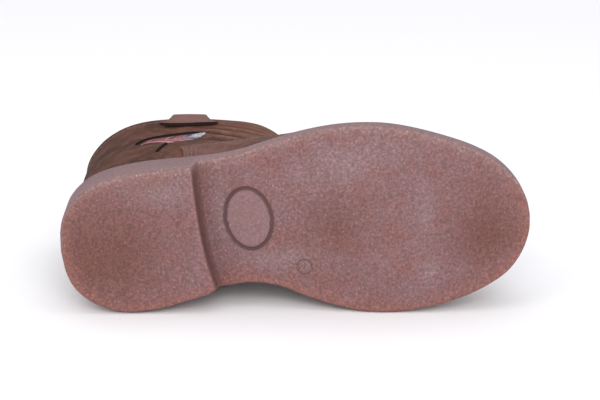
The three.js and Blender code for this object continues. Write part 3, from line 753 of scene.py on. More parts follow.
# The top, under the insole, is a coarser grid that follows the last's curve.
TOP_COLUMNS = 10
inner_ids, outer_ids = lower[1 : rows + 1], lower[rows + 2 :][::-1]
top_part = np.linspace(0, 1, TOP_COLUMNS + 2)[1:-1, None]
inner_top, outer_top = sole_points[inner_ids, None, :2], sole_points[outer_ids, None, :2]
top_plan = outer_top + (inner_top - outer_top) * top_part
top_points = np.dstack([top_plan, sole_top(top_plan[..., 0])]).reshape(-1, 3)
top_ids = len(sole_points) + np.arange(len(top_points)).reshape(rows, TOP_COLUMNS)
top_ids = np.column_stack([outer_ids, top_ids, inner_ids])
for c in range(TOP_COLUMNS + 1):
    left, right = top_ids[:, c], top_ids[:, c + 1]
    sole_faces += np.stack([left[:-1], right[:-1], right[1:], left[1:]], -1).tolist()
    sole_faces += [(lower[0], left[0], right[0]), (lower[rows + 1], right[-1], left[-1])]
sole_points = np.concatenate([sole_points, top_points])
print("sole rings", len(rings), "points on top", len(top_points))

# %% Sole object
tread_count, ring_count, top_count = len(tread_points) + 2, len(rings) * count, len(top_points)
ring_points = sole_points[tread_count : tread_count + ring_count]
ring_y = np.tile(outline(around)[:, 1], len(rings))
side = np.repeat(wall_share, count) * np.where(ring_y < 10, 1.0, 0.75)
ring_height = ring_points[:, 2] - np.tile(low, len(rings))
lip_mark = 0.8 * bell(ring_height, 9) * np.clip((6 - ring_y) / 12, 0, 1)
lip_mark *= np.clip(0.35 + ring_points[:, 0] / 30, 0, 1)
# The same orange tint on the rounded edge of the side, partly a painted glow of light through the
# rubber.
ring_edge = (1 - np.repeat(wall_share, count)) * np.clip((ring_y + 26) / 40, 0.2, 0.8)


def whole_mark(tread_values, ends=(0, 0), ring_values=None):
    """A mark for all points: the tread, its two ends, the rings of the side and the top."""
    ring_values = np.zeros(ring_count) if ring_values is None else ring_values
    return np.concatenate([tread_values, ends, ring_values, np.zeros(top_count)])


sole = make_object(
    "sole_moulded", sole_points, sole_faces, [crepe_rubber], sharp=60,
    marks={
        "worn": whole_mark(worn),
        "pale": whole_mark(pale),
        "edge": whole_mark(edge, (0.6, 0.8), ring_edge),
        "side": whole_mark(np.zeros(len(flat)), (0, 0), side),
        "lip": whole_mark(outer_rim, (0.4, 0.4), lip_mark),
        "oval": whole_mark(inside_oval * 0.8),
        "groove": whole_mark(np.clip(hollow * 1.6, 0, 1) * 0.85),
        "shade": whole_mark(shade * 0.9),
    },
)
register(sole, "sole_rubber", "sole")

# %% [markdown]
# ## The surface of the upper
#
# Leather pulled over a last is a smooth skin. A place on it has two readings: an angle round
# the foot and a rise from the feather edge to the rim. Every layer of the upper is this skin
# moved in or out along its normal, so leather, lining and overlay follow each other.

# %% The skin over the last


def skin_point(angle, rise):
    """Point of the outer face. rise runs from 0 at the foot to 1 at the rim."""
    angle, rise = np.broadcast_arrays(np.asarray(angle, float), np.asarray(rise, float))
    places = np.linspace(0, 1, len(BANDS["sole"]))
    band = {key: smooth_line(places, column, np.clip(rise, 0, 1)) for key, column in BANDS.items()}
    at, collar = share(angle), band["collar"]
    back = band["back"] * SOLE_LENGTH
    low_front = band["front"] * SOLE_LENGTH
    high_front = (back + COLLAR_LENGTH) * band["front"] / BANDS["front"][-1]
    x = back + (low_front + (high_front - low_front) * collar - back) * at

    swells = np.stack([band[key] for key in SWELL_AT])
    foot_swell = smooth_line(list(SWELL_AT.values()), swells, at) * BALL_WIDTH
    collar_swell = along(COLLAR_OVAL, "swell", at) * COLLAR_WIDTH
    bend = along(OUTLINE, "bend", x / SOLE_LENGTH) * BALL_WIDTH * band["bend"]
    shift = bend + COLLAR_SHIFT * COLLAR_WIDTH * collar
    y = shift + (foot_swell + (collar_swell - foot_swell) * collar) * np.sin(angle)

    foot = outline(angle, np.full(angle.shape, FEATHER_INSET))
    x = x + (foot[..., 0] - x) * band["sole"]
    y = y + (foot[..., 1] - y) * band["sole"]
    lift = band["back_rise"] + (band["front_rise"] - band["back_rise"]) * at
    floor = sole_top(x) + GAP
    return np.stack([x, y, floor + lift * (SHAFT_HEIGHT - floor)], -1)


def skin_normal(angle, rise):
    angle, rise = np.broadcast_arrays(np.asarray(angle, float), np.asarray(rise, float))
    step = 0.004
    above, below = np.minimum(rise + step, 1), np.maximum(rise - step, 0)
    up = skin_point(angle, above) - skin_point(angle, below)
    round_foot = skin_point(angle + step, rise) - skin_point(angle - step, rise)
    normal = np.cross(up, round_foot)
    level = (rise <= 0) | (rise >= 1)
    normal[..., 2] = np.where(level, 0, normal[..., 2])
    return normal / np.linalg.norm(normal, axis=-1, keepdims=True)


def place_on(x, z, side):
    """Angle and rise of places seen in the side view. side is 1 for inner and -1 for outer."""
    x, z = np.broadcast_arrays(np.asarray(x, float), np.asarray(z, float))
    rise = np.full(x.shape, 0.5)
    for _ in range(40):
        back, front = skin_point(0.0, rise)[..., 0], skin_point(math.pi, rise)[..., 0]
        angle = side * angle_at((x - back) / (front - back))
        rise = np.clip(rise + 0.7 * (z - skin_point(angle, rise)[..., 2]) / SHAFT_HEIGHT, 0, 1)
    return angle, rise


print("middle of the shaft at", skin_point(*place_on(46, 70, -1)).round(1))

# %% [markdown]
# ## Creases
#
# Worn leather keeps the folds of the ankle and the ball of the foot. Each one is given as a
# short curve seen from the outer side, the inner side, the top or the front, with a width and a
# depth. Near its curve the skin sinks into a soft trough and swells on both banks.

# %% Table of creases
# Three points of a curve (u, v), then width and depth, all in mm. From a side u is forward and
# v up, from the top u is forward and v inward, from the front u is inward and v up.
CREASES = {
    "outer": [
        ((68, 94.0), (80, 91.2), (95, 86.0), 1.0, 0.4),
        ((60, 90.5), (76, 86.0), (95, 79.5), 1.5, 0.85),
        ((56, 85.0), (72, 79.4), (93, 74.0), 1.6, 1.15),
        ((57, 79.4), (64, 75.4), (71, 66.5), 1.3, 0.9),
        ((62, 75.0), (73, 66.8), (82, 53.0), 1.9, 1.1),
        ((71, 74.0), (81, 69.5), (93, 67.5), 1.2, 0.6),
        ((59, 68.0), (69, 60.0), (75, 48.5), 2.2, 0.8),
        ((85.0, 78.8), (85.3, 78.3), (85.6, 77.8), 0.7, 1.1),
        ((9, 78.0), (17, 71.0), (30, 69.0), 3.0, 0.35),
        ((12, 52.0), (22, 47.0), (36, 46.0), 3.2, 0.3),
    ],
    "inner": [
        ((61, 88.0), (76, 84.5), (94, 80.0), 1.6, 0.6),
        ((57, 81.0), (72, 76.0), (92, 72.0), 2.0, 0.8),
        ((60, 73.0), (71, 66.0), (81, 54.0), 2.2, 0.7),
        ((56, 66.0), (66, 58.0), (72, 49.0), 2.6, 0.5),
        ((10, 76.0), (20, 70.0), (34, 69.0), 3.0, 0.35),
    ],
    "front": [
        ((-22, 76.5), (0, 71.0), (22, 75.5), 2.2, 0.8),
        ((-20, 83.0), (2, 80.0), (20, 82.5), 1.8, 0.5),
    ],
    "top": [
        ((124, -30), (131, 0), (127, 32), 2.6, 0.6),
        ((134, -28), (141, 2), (136, 31), 2.2, 0.5),
        ((115, -24), (120, 0), (117, 26), 2.8, 0.4),
    ],
}


def crease_relief(points):
    """How far the skin moves out, in mm, at points of the boot."""
    x, y, z = points[..., 0].ravel(), points[..., 1].ravel(), points[..., 2].ravel()
    views = {
        "outer": (x, z, y < -4),
        "inner": (x, z, y > 2),
        "front": (y, z, x > 88),
        "top": (x, y, z > 22),
    }
    moved = np.zeros(len(x))
    for name, creases in CREASES.items():
        u, v, seen = views[name]
        for start, middle, end, width, depth in creases:
            t = np.linspace(0, 1, 40)[:, None]
            bend = 2 * np.array(middle) - (np.array(start) + np.array(end)) / 2
            curve = (1 - t) ** 2 * np.array(start) + 2 * t * (1 - t) * bend + t**2 * np.array(end)
            low, high = curve.min(0) - 4 * width, curve.max(0) + 4 * width
            near = seen & (u > low[0]) & (u < high[0]) & (v > low[1]) & (v < high[1])
            gaps = np.stack([u[near], v[near]], -1)[:, None, :] - curve[None]
            reach = np.sqrt((gaps**2).sum(-1))
            spot = reach.argmin(1)
            across = reach.min(1) / width
            fade = np.sin(np.pi * np.clip(spot / 39, 0.02, 0.98)) ** 0.7
            trough = bell(across, 1) - 0.4 * np.exp(-((across - 1.9) ** 2))
            moved[near] -= depth * fade * trough
    return moved.reshape(points.shape[:-1])


def counter_sink(points):
    """The back of the shaft has sunk in a little since the last was drawn out."""
    x, z = points[..., 0], points[..., 2]
    high = np.clip((z - 25) / 20, 0, 1)
    depth = 2.2 * bell(x, 4) + 0.5 * bell(x - 12, 9)
    return -depth * smooth_step(high)


def skin(angle, rise, out):
    """The creased skin, moved out by a distance."""
    point, normal = skin_point(angle, rise), skin_normal(angle, rise)
    moved = np.asarray(out, float) + crease_relief(point) + counter_sink(point)
    return point + normal * moved[..., None]


print(sum(len(rows) for rows in CREASES.values()), "creases")

# %% [markdown]
# ## Nubuck, lining and cut edges
#
# The upper is nubuck: cattle leather buffed on its grain side to a short nap. It has no shine,
# its colour drifts between olive and red brown, and rubbed places turn paler. Light is painted
# into it as well: painted shade in the troughs of the creases and towards the back of the
# shaft, and painted light on the front of the upper. A noise of half a millimetre gives the
# nap, and sheen gives the soft light at glancing angles that short fibres make. Cut edges are
# darker and harder. The lining is a tan pigskin with small pores.

# %% Nubuck
NAP = 0.5  # mm, coarser than the real nap of about 0.1 so that it shows
SCUFF = 5
HIDE_CLOUD = 22


def nubuck_material(name, dark_hex, mid_hex, pale_hex, scuffed):
    """Nubuck in three tones. scuffed is the span of the scuff noise that turns pale."""
    material, tree, shader, place = new_material(name)
    drift = stretch(tree, noise(tree, place, HIDE_CLOUD, 3.0, 0.6), 0.38, 0.62)
    scuff = noise(tree, place, SCUFF, 4.0, 0.65, 0.25)
    nap = noise(tree, place, NAP, 2.0, 0.6)
    base = blend(tree, drift, dark_hex, mid_hex)
    rubbed_and_lit = stretch(tree, scuff, *scuffed, 0.0, 0.6)
    paler = maths(tree, "ADD", rubbed_and_lit, stored(tree, "rubbed_and_lit"), use_clamp=True)
    tone = blend(tree, paler, base, pale_hex)
    # Painted shade: the fold mark darkens the troughs of the creases, and on the upper also the
    # back of the shaft.
    shade_painted = blend(tree, stored(tree, "fold"), tone, "#2c1f1b")
    napped = brighten(tree, shade_painted, stretch(tree, nap, 0.3, 0.7, 0.78, 1.2))
    relief = maths(tree, "MULTIPLY_ADD", scuff, 1.4, nap)
    finish = {"Roughness": 0.93, "Specular IOR Level": 0.08, "Sheen Weight": 0.06}
    finish.update({"Sheen Roughness": 0.55, "Sheen Tint": linear("#b08f84")})
    dress(tree, shader, napped, finish, relief, 0.5, 0.18)
    return material


nubuck = nubuck_material("buffed_nubuck_brown", "#3f3026", "#613f35", "#7c584c", (0.47, 0.7))
nubuck_overlay = nubuck_material(
    "buffed_nubuck_rubbed", "#58403a", "#674943", "#8a6862", (0.4, 0.84)
)
print(nubuck.name, len(nubuck.node_tree.nodes), "nodes")

# %% Cut edge and lining
cut_edge, tree, shader, place = new_material("cut_leather_edge")
edge_tone = blend(tree, noise(tree, place, 0.4, 3.0), "#1e1411", "#36261f")
dress(tree, shader, edge_tone, {"Roughness": 0.8, "Specular IOR Level": 0.12})

lining, tree, shader, place = new_material("pigskin_lining")
pit = stretch(tree, grains(tree, place, 1.6, 0.8), 0.0, 0.25, 0.72, 1.0)
lining_tone = blend(tree, noise(tree, place, 9, 3.0), "#a88b70", "#c6ab8d")
dress(tree, shader, brighten(tree, lining_tone, pit), {"Roughness": 0.7}, pit, 0.4, 0.15)
print(cut_edge.name, lining.name)

# %% [markdown]
# ## The upper
#
# One wall runs from the feather edge up to the collar: nubuck outside, lining inside, and a
# folded rim between. Rings of points climb the outer face, roll over the rim and go down the
# inside. The leaf-shaped window of the outer side is then cut through with a boolean, which
# leaves the clean edge that a die would.

# %% Rings of the upper
AROUND = 264
turns = np.linspace(0, 2 * math.pi, AROUND, endpoint=False)
outer_rises = np.linspace(0, 1, 96)
inner_rises = np.linspace(1, 0, 44)
RIM_ROLL = 6


def collar_roll(points):
    """The folded collar is a little thicker, and its seam line pulls in below."""
    below = SHAFT_HEIGHT - points[..., 2]
    return 0.22 * bell(below, 2.0) - 0.2 * bell(below - 3.6, 0.8)


upper_rings = []
for rise in outer_rises[:-1]:
    ring = skin_point(turns, rise)
    upper_rings.append(skin(turns, rise, collar_roll(ring)))
half_wall = UPPER_WALL / 2
for i in range(RIM_ROLL + 1):
    roll = math.pi * i / RIM_ROLL
    ring = skin(turns, 1.0, -half_wall + half_wall * math.cos(roll))
    ring[:, 2] = SHAFT_HEIGHT - 0.9 + 0.9 * math.sin(roll)
    upper_rings.append(ring)
for rise in inner_rises[1:]:
    upper_rings.append(skin(turns, rise, -UPPER_WALL))
upper_points = np.concatenate(upper_rings)
ring_total = len(upper_rings)
upper_faces = grid_faces(ring_total, AROUND, closed=True)
closing = np.stack([
    (ring_total - 1) * AROUND + np.arange(AROUND),
    (ring_total - 1) * AROUND + (np.arange(AROUND) + 1) % AROUND,
    (np.arange(AROUND) + 1) % AROUND,
    np.arange(AROUND),
], -1)
upper_faces = np.concatenate([upper_faces, closing])[:, ::-1]
first_inner = len(outer_rises) - 1 + RIM_ROLL
upper_slots = np.where(np.arange(len(upper_faces)) < first_inner * AROUND, 0, 1)
below_rim = np.clip(SHAFT_HEIGHT - upper_points[:, 2], 0, None)
upper_creases = crease_relief(upper_points)
rubbed_and_lit = 0.3 * bell(below_rim, 0.8) + np.clip(upper_creases, 0, 1) * 0.9
# Painted light: the front of the upper is paler.
rubbed_and_lit += 0.6 * np.clip((upper_points[:, 0] - 55) / 40, 0, 1)
# Painted shade: darker in the troughs of the creases and towards the back of the shaft.
fold = np.clip(-upper_creases - 0.08, 0, 1) * 0.8
fold += 0.25 * np.clip((42 - upper_points[:, 0]) / 22, 0, 1)
print(ring_total, "rings of", AROUND)

# %% Window of the outer side
INLAY = {"x": 46.0, "z": 70.3, "long": 34.5, "wide": 14.5, "turn": math.radians(27)}
QUILL = {"long": 22.0, "wide": 3.4, "turn": math.radians(75)}


def bezier(points, steps=14):
    a, b, c, d = np.array(points, float)
    t = np.linspace(0, 1, steps)[:, None]
    return (1 - t) ** 3 * a + 3 * (1 - t) ** 2 * t * b + 3 * (1 - t) * t * t * c + t**3 * d


def leaf(inset=0):
    """Outline of the leaf in its own plane: along its axis and across it."""
    tip, half = INLAY["long"] / 2 - inset, INLAY["wide"] / 2 - inset
    lower = np.array([(-1, -0.35), (-0.5, -1.5), (0.3, -1.5), (1, -0.05)])
    higher = np.array([(1, 0.05), (0.3, 1.3), (-0.6, 1.3), (-1, 0.35)])
    return np.concatenate([bezier(side * (tip, half)) for side in (lower, higher)])


def in_side_view(points, origin, turn):
    c, s = math.cos(turn), math.sin(turn)
    x = origin[0] + points[..., 0] * c - points[..., 1] * s
    z = origin[1] + points[..., 0] * s + points[..., 1] * c
    return x, z


def prism(name, points, origin, turn):
    """A cutter through the outer side of the shaft."""
    x, z = in_side_view(points, origin, turn)
    n = len(x)
    near = np.column_stack([x, np.full(n, -48.0), z])
    far = np.column_stack([x, np.full(n, -9.8), z])
    sides = [(i, (i + 1) % n, n + (i + 1) % n, n + i) for i in range(n)]
    faces = sides + [tuple(range(n))[::-1], tuple(range(n, 2 * n))]
    return make_object(name, np.concatenate([near, far]), faces, [nubuck, lining, cut_edge],
                       face_slots=[2] * len(faces))


half_quill = QUILL["wide"] / 2
quill_shape = np.array([(-QUILL["long"], -half_quill / 2), (0, -half_quill), (0, half_quill),
                        (-QUILL["long"], half_quill / 2)])
quill_root = (INLAY["x"], INLAY["z"] - 0.55 * INLAY["wide"])
window_cutter = prism("window_cutter", leaf(), (INLAY["x"], INLAY["z"]), INLAY["turn"])
quill_cutter = prism("quill_cutter", quill_shape, quill_root, QUILL["turn"])

# %% Upper object
upper = make_object(
    "upper_nubuck", upper_points, upper_faces, [nubuck, lining, cut_edge],
    face_slots=upper_slots, sharp=50, marks={"rubbed_and_lit": rubbed_and_lit, "fold": fold},
)
for cutter in (window_cutter, quill_cutter):
    cut = upper.modifiers.new("cut", "BOOLEAN")
    cut.operation = "DIFFERENCE"
    cut.solver = "EXACT"
    cut.object = cutter
    bpy.context.view_layer.objects.active = upper
    bpy.ops.object.modifier_apply(modifier=cut.name)
    bpy.data.objects.remove(cutter)
upper.data.set_sharp_from_angle(angle=math.radians(50))
register(upper, "nubuck", "upper")
print("upper after cutting", len(upper.data.vertices), "points")

# %% [markdown]
# ## The vamp
#
# The vamp is a second layer of nubuck lapped over the upper. Its wings end in a stitched seam at
# either side of the heel and its top edge climbs to the throat. It is the same skin moved out,
# so it hugs the boot. Towards its edge it is skived, or pared thinner, as leather is before it
# is sewn.

# %% Edges of the vamp
VAMP_THICKNESS = 1.1
LAP_GAP = 0.45
VAMP_BACK = 51
VAMP_HEIGHT = 41
VAMP_THROAT = 0.56

start = float(place_on(VAMP_BACK, VAMP_HEIGHT, 1)[0])
finish_turn = 2 * math.pi + float(place_on(VAMP_BACK, VAMP_HEIGHT, -1)[0])
wing_end = float(place_on(0.5 * SOLE_LENGTH, VAMP_HEIGHT, 1)[0])


def vamp_top(angle):
    """Rise of the vamp's top edge: level along the wings, then climbing to the throat."""
    side = np.where(angle <= math.pi, angle, 2 * math.pi - angle)
    rise = np.full(np.shape(angle), 0.3)
    for _ in range(30):
        rise = rise + 0.7 * (VAMP_HEIGHT - skin_point(angle, rise)[..., 2]) / SHAFT_HEIGHT
        rise = np.clip(rise, 0.05, VAMP_THROAT)
    t = np.clip((side - wing_end) / (math.pi * 0.93 - wing_end), 0, 1)
    return rise + (VAMP_THROAT - rise) * smooth_step(t)


print("wing of the vamp ends at", round(math.degrees(wing_end)), "degrees")

# %% Vamp mesh
VAMP_COLUMNS = 250
VAMP_ROWS = 62
ease = np.linspace(0, 1, VAMP_COLUMNS)
crowding = 0.12 * np.sin(2 * math.pi * ease) / (2 * math.pi) * 4
vamp_turns = start + (finish_turn - start) * (ease - crowding)
climb = 1 - (1 - np.linspace(0, 1, VAMP_ROWS)) ** 1.35
vamp_angle, vamp_climb = np.meshgrid(vamp_turns, climb)
vamp_rise = vamp_climb * vamp_top(vamp_turns)[None, :]
plain_skin = skin_point(vamp_angle, vamp_rise)
up_steps = np.linalg.norm(np.diff(plain_skin, axis=0), axis=-1)
from_top = np.concatenate([np.cumsum(up_steps[::-1], axis=0)[::-1], np.zeros((1, VAMP_COLUMNS))])
side_steps = np.linalg.norm(np.diff(plain_skin, axis=1), axis=-1)
run = np.concatenate([np.zeros((VAMP_ROWS, 1)), np.cumsum(side_steps, axis=1)], axis=1)
from_seam = np.minimum(run, run[:, -1:] - run)
from_edge = np.minimum(from_top, from_seam)

STITCH_ROWS = (1.7, 3.5)  # mm from the vamp's edge
skived = VAMP_THICKNESS * (1 - 0.5 * bell(from_edge, 0.55))
for row_at in STITCH_ROWS:
    skived -= 0.13 * bell(from_edge - row_at, 0.45)
skived += 0.1 * bell(from_edge - sum(STITCH_ROWS) / 2, 0.7)
creased = crease_relief(plain_skin)
normals = skin_normal(vamp_angle, vamp_rise)
vamp_outer = plain_skin + normals * (LAP_GAP + skived + creased)[..., None]
vamp_inner = plain_skin + normals * (LAP_GAP + creased)[..., None]

vamp = make_object(
    "vamp_nubuck",
    np.concatenate([vamp_outer.reshape(-1, 3), vamp_inner.reshape(-1, 3)]),
    sheet_faces(VAMP_ROWS, VAMP_COLUMNS, flipped=True), [nubuck_overlay], sharp=50,
    marks={
        # Paler towards the vamp's edges; the fold mark is painted shade in the troughs of its
        # creases.
        "rubbed_and_lit": np.tile((0.45 * bell(from_edge, 0.7)).ravel(), 2),
        "fold": np.tile(np.clip(-creased - 0.08, 0, 1).ravel() * 0.6, 2),
    },
)
register(vamp, "nubuck", "vamp")

# %% [markdown]
# ## Pull strap
#
# The strap is one band folded over the rim, narrow at the fold and flared towards its cut ends.
# It is drawn as a profile of outward and upward distances from the rim, swept across its width.
# Its cut edges are dark, which draws the line under it that shows from below.

# %% Strap mesh
STRAP_FOOT_WIDTH = 25.6
STRAP_FOLD_WIDTH = 14.8
STRAP_THICKNESS = 1.4
STRAP_GAP = 0.42
STRAP_PLACE = 52.4
STRAP_ABOVE = 3.2
STRAP_BELOW = 14.5
STRAP_COLUMNS = 45

strap_out = STRAP_GAP + STRAP_THICKNESS / 2
strap_in = -UPPER_WALL - STRAP_GAP - STRAP_THICKNESS / 2
fold, middle = (strap_out - strap_in) / 2, (strap_out + strap_in) / 2
fold_top = STRAP_ABOVE - fold - STRAP_THICKNESS / 2
climb = np.concatenate([np.linspace(-STRAP_BELOW, 0, 30), np.linspace(0, fold_top, 6)[1:]])
arc = np.linspace(0, math.pi, 18)[1:-1]
outer_leg, inner_leg = np.full(len(climb), strap_out), np.full(len(climb), strap_in)
profile_out = np.concatenate([outer_leg, middle + fold * np.cos(arc), inner_leg])
profile_up = np.concatenate([climb, fold_top + fold * np.sin(arc), climb[::-1]])
run_out, run_up = np.gradient(profile_out), np.gradient(profile_up)
length = np.hypot(run_out, run_up)
run_out, run_up = run_out / length, run_up / length


def strap_half(up):
    u = np.clip((up + STRAP_BELOW) / (STRAP_ABOVE + STRAP_BELOW), 0, 1)
    return (STRAP_FOOT_WIDTH + (STRAP_FOLD_WIDTH - STRAP_FOOT_WIDTH) * (1 - (1 - u) ** 1.8)) / 2


def strap_point(across, up, out):
    """Point of the strap: across from -1 to 1, up from the rim, out from the leather's face.

    The sewn end is too stiff to follow the shaft round, so its corners stand off."""
    x = STRAP_PLACE + strap_half(up) * across
    angle, rise = place_on(x, SHAFT_HEIGHT + np.minimum(up, 0), -1)
    normal = skin_normal(angle, rise)
    normal[..., 2] = 0
    normal /= np.linalg.norm(normal, axis=-1, keepdims=True)
    corner_lift = np.where(across < 0, 1.1, 0.45) * across**2 + 0.1
    lifted = corner_lift * bell(up + STRAP_BELOW, 4) * (out > 0)
    point = skin_point(angle, rise) + normal * (out + lifted)[..., None]
    point[..., 2] = SHAFT_HEIGHT + up
    return point


across = np.linspace(1, -1, STRAP_COLUMNS)
strap_layers = []
edge_round = 1 - 0.5 * bell(1 - np.abs(across), 0.05)
for side in (1, -1):
    half = side * STRAP_THICKNESS / 2
    layer = strap_point(
        np.broadcast_to(across, (len(profile_up), STRAP_COLUMNS)),
        profile_up[:, None] - run_out[:, None] * half * edge_round,
        profile_out[:, None] + run_up[:, None] * half * edge_round,
    )
    strap_layers.append(layer)
strap_rows = len(profile_up)
strap_count = strap_rows * STRAP_COLUMNS
strap_faces = sheet_faces(strap_rows, STRAP_COLUMNS)
is_edge = np.arange(len(strap_faces)) >= 2 * (strap_rows - 1) * (STRAP_COLUMNS - 1)
strap = make_object(
    "pull_strap_nubuck",
    np.concatenate([layer.reshape(-1, 3) for layer in strap_layers]),
    strap_faces, [nubuck_overlay, cut_edge], face_slots=is_edge, sharp=50,
    marks={"rubbed_and_lit": np.full(2 * strap_count, 0.42)},
)
register(strap, "nubuck", "pull_strap")

# %% [markdown]
# ## Insole
#
# The insole is a thin foam board under lining leather. It shows only through the collar. It is
# a grid from side to side, its edge rolled down and its middle dented a little by the foot.

# %% Insole mesh
INSOLE_THICKNESS = 2.6
INSOLE_ROWS = 150
INSOLE_COLUMNS = 50
inset = FEATHER_INSET + UPPER_WALL + 2 * GAP
row_turns = np.linspace(0, math.pi, INSOLE_ROWS + 2)[1:-1]
inner_line = outline(row_turns, np.full(INSOLE_ROWS, inset))
outer_line = outline(-row_turns, np.full(INSOLE_ROWS, inset))
part = (1 - np.cos(np.linspace(0, math.pi, INSOLE_COLUMNS))) / 2
plan = outer_line[:, None, :] + (inner_line - outer_line)[:, None, :] * part[None, :, None]
insole_edge = outline(np.linspace(-math.pi, math.pi, 500), np.full(500, inset))
reach = nearest(plan.reshape(-1, 2), insole_edge)
reach = reach.reshape(INSOLE_ROWS, INSOLE_COLUMNS)
dent = 0.7 * np.exp(-(((plan[..., 0] - 28) / 20) ** 2 + (plan[..., 1] / 15) ** 2))
dent += 0.5 * np.exp(-(((plan[..., 0] - 135) / 24) ** 2 + ((plan[..., 1] - 4) / 20) ** 2))
top = sole_top(plan[..., 0]) + GAP + INSOLE_THICKNESS - dent - 0.9 * bell(reach, 0.8)
bottom = sole_top(plan[..., 0]) + GAP
insole_points = np.concatenate([
    np.dstack([plan, top]).reshape(-1, 3), np.dstack([plan, bottom]).reshape(-1, 3)
])
insole = make_object(
    "insole_lined", insole_points, sheet_faces(INSOLE_ROWS, INSOLE_COLUMNS), [lining]
)
register(insole, "insole_lining", "insole")

# %% [markdown]
# ## Threads
#
# Sewing and embroidery are short lengths of thread. Each one is a thin tube along a few points,
# and hundreds of them are made at once as arrays and joined into one mesh. Curves with a bevel
# would look the same, but arrays give the face counts directly and let every thread follow the
# skin of the boot.

# %% Tubes from arrays


def tubes(centres, normals, radius, sides=6):
    """Closed tubes along rows of points. centres is (threads, points, 3)."""
    number, steps = centres.shape[:2]
    tangent = np.gradient(centres, axis=1)
    tangent /= np.linalg.norm(tangent, axis=-1, keepdims=True)
    across = np.cross(tangent, normals)
    across /= np.linalg.norm(across, axis=-1, keepdims=True)
    lift = np.cross(across, tangent)
    turn = 2 * math.pi * np.arange(sides) / sides
    radius = np.broadcast_to(radius, (number, steps))[:, :, None, None]
    wall = np.cos(turn)[:, None] * lift[:, :, None] + np.sin(turn)[:, None] * across[:, :, None]
    points = (centres[:, :, None] + radius * wall).reshape(-1, 3)
    first = (np.arange(number) * steps * sides)[:, None, None]
    one = grid_faces(steps, sides, closed=True)
    caps = np.stack([np.arange(sides)[::-1], (steps - 1) * sides + np.arange(sides)])
    quads = (one[None] + first).reshape(-1, 4).tolist()
    ends = (caps[None] + first).reshape(-1, sides).tolist()
    threads = np.arange(number)
    owner = np.concatenate([np.repeat(threads, len(one)), np.repeat(threads, 2)])
    return points, quads + ends, owner


def thread_material(name, shadow_hex, light_hex, metallic=0.0, roughness=0.4):
    """Twisted thread: fine slanting plies and a drifting colour."""
    material, tree, shader, place = new_material(name)
    ply = add_node(
        tree, "ShaderNodeTexWave",
        {"Vector": place, "Scale": per_metre(1.4), "Distortion": 1.5, "Detail": 1.0},
        wave_type="BANDS", bands_direction="DIAGONAL",
    ).outputs["Fac"]
    twisted = maths(tree, "MULTIPLY", ply, noise(tree, place, 1.2, 1.0))
    tone = blend(tree, twisted, shadow_hex, light_hex)
    dress(tree, shader, tone, {"Roughness": roughness, "Metallic": metallic}, ply, 0.3, 0.05)
    return material


sewing_thread = thread_material("twisted_polyester_thread", "#5e4840", "#8f766a", roughness=0.55)
print(sewing_thread.name)

# %% Rows of stitches
STITCH_PITCH = 2.5  # mm
STITCH_LENGTH = 2.1
THREAD_RADIUS = 0.24


def stitches(path, normals):
    """Centres and normals of stitches along a line of close points."""
    run = np.concatenate([[0], np.cumsum(np.linalg.norm(np.diff(path, axis=0), axis=1))])
    number = int(run[-1] // STITCH_PITCH)
    starts = np.arange(number) * STITCH_PITCH + 0.2
    t = np.linspace(0, 1, 7)
    at = starts[:, None] + STITCH_LENGTH * t[None, :]
    centres = np.stack([np.interp(at, run, path[:, i]) for i in range(3)], -1)
    lift = np.stack([np.interp(at, run, normals[:, i]) for i in range(3)], -1)
    lift /= np.linalg.norm(lift, axis=-1, keepdims=True)
    height = -0.2 + 0.26 * np.sin(math.pi * t) ** 0.6
    return centres + lift * height[None, :, None], lift


def at_distance(distances, values, target, axis):
    """Values read where a distance first reaches a target, along one axis of a grid."""
    distances, values = np.moveaxis(distances, axis, 0), np.moveaxis(values, axis, 0)
    found = []
    for k in range(distances.shape[1]):
        order = np.argsort(distances[:, k])
        found.append(np.interp(target, distances[order, k], values[order, k]))
    return np.array(found)


print("stitch pitch", STITCH_PITCH, "mm")

# %% Stitch lines of the vamp
VAMP_FACE = LAP_GAP + VAMP_THICKNESS - 0.13
stitch_groups = []


def sew(line_turns, line_rises):
    """Stitches on the vamp's face, along places on the skin."""
    face = skin(line_turns, line_rises, VAMP_FACE)
    stitch_groups.append(stitches(face, skin_normal(line_turns, line_rises)))


for row_at in STITCH_ROWS:
    rise_line = at_distance(from_top, vamp_rise, row_at, 0)
    seam_reach = at_distance(from_top, from_seam, row_at, 0)
    keep = seam_reach > row_at
    line_turns, line_rises = vamp_turns[keep], rise_line[keep]
    fine_turns = np.linspace(line_turns[0], line_turns[-1], 900)
    fine_rises = np.interp(fine_turns, line_turns, line_rises)
    sew(fine_turns, fine_rises)
half_columns = VAMP_COLUMNS // 2
for side in (slice(0, half_columns), slice(VAMP_COLUMNS - half_columns, VAMP_COLUMNS)):
    for row_at in (*STITCH_ROWS, 5.4):
        turn_line = at_distance(from_seam[:, side], vamp_angle[:, side], row_at, 1)
        rise_line = at_distance(from_seam[:, side], vamp_rise[:, side], row_at, 1)
        keep = (from_top[:, 0] > STITCH_ROWS[0]) & (rise_line > 0.012)
        steps = np.linspace(0, 1, 160)
        have = np.linspace(0, 1, keep.sum())
        fine_turns = np.interp(steps, have, turn_line[keep])
        fine_rises = np.interp(steps, have, rise_line[keep])
        sew(fine_turns, fine_rises)
print(len(stitch_groups), "lines on the vamp")

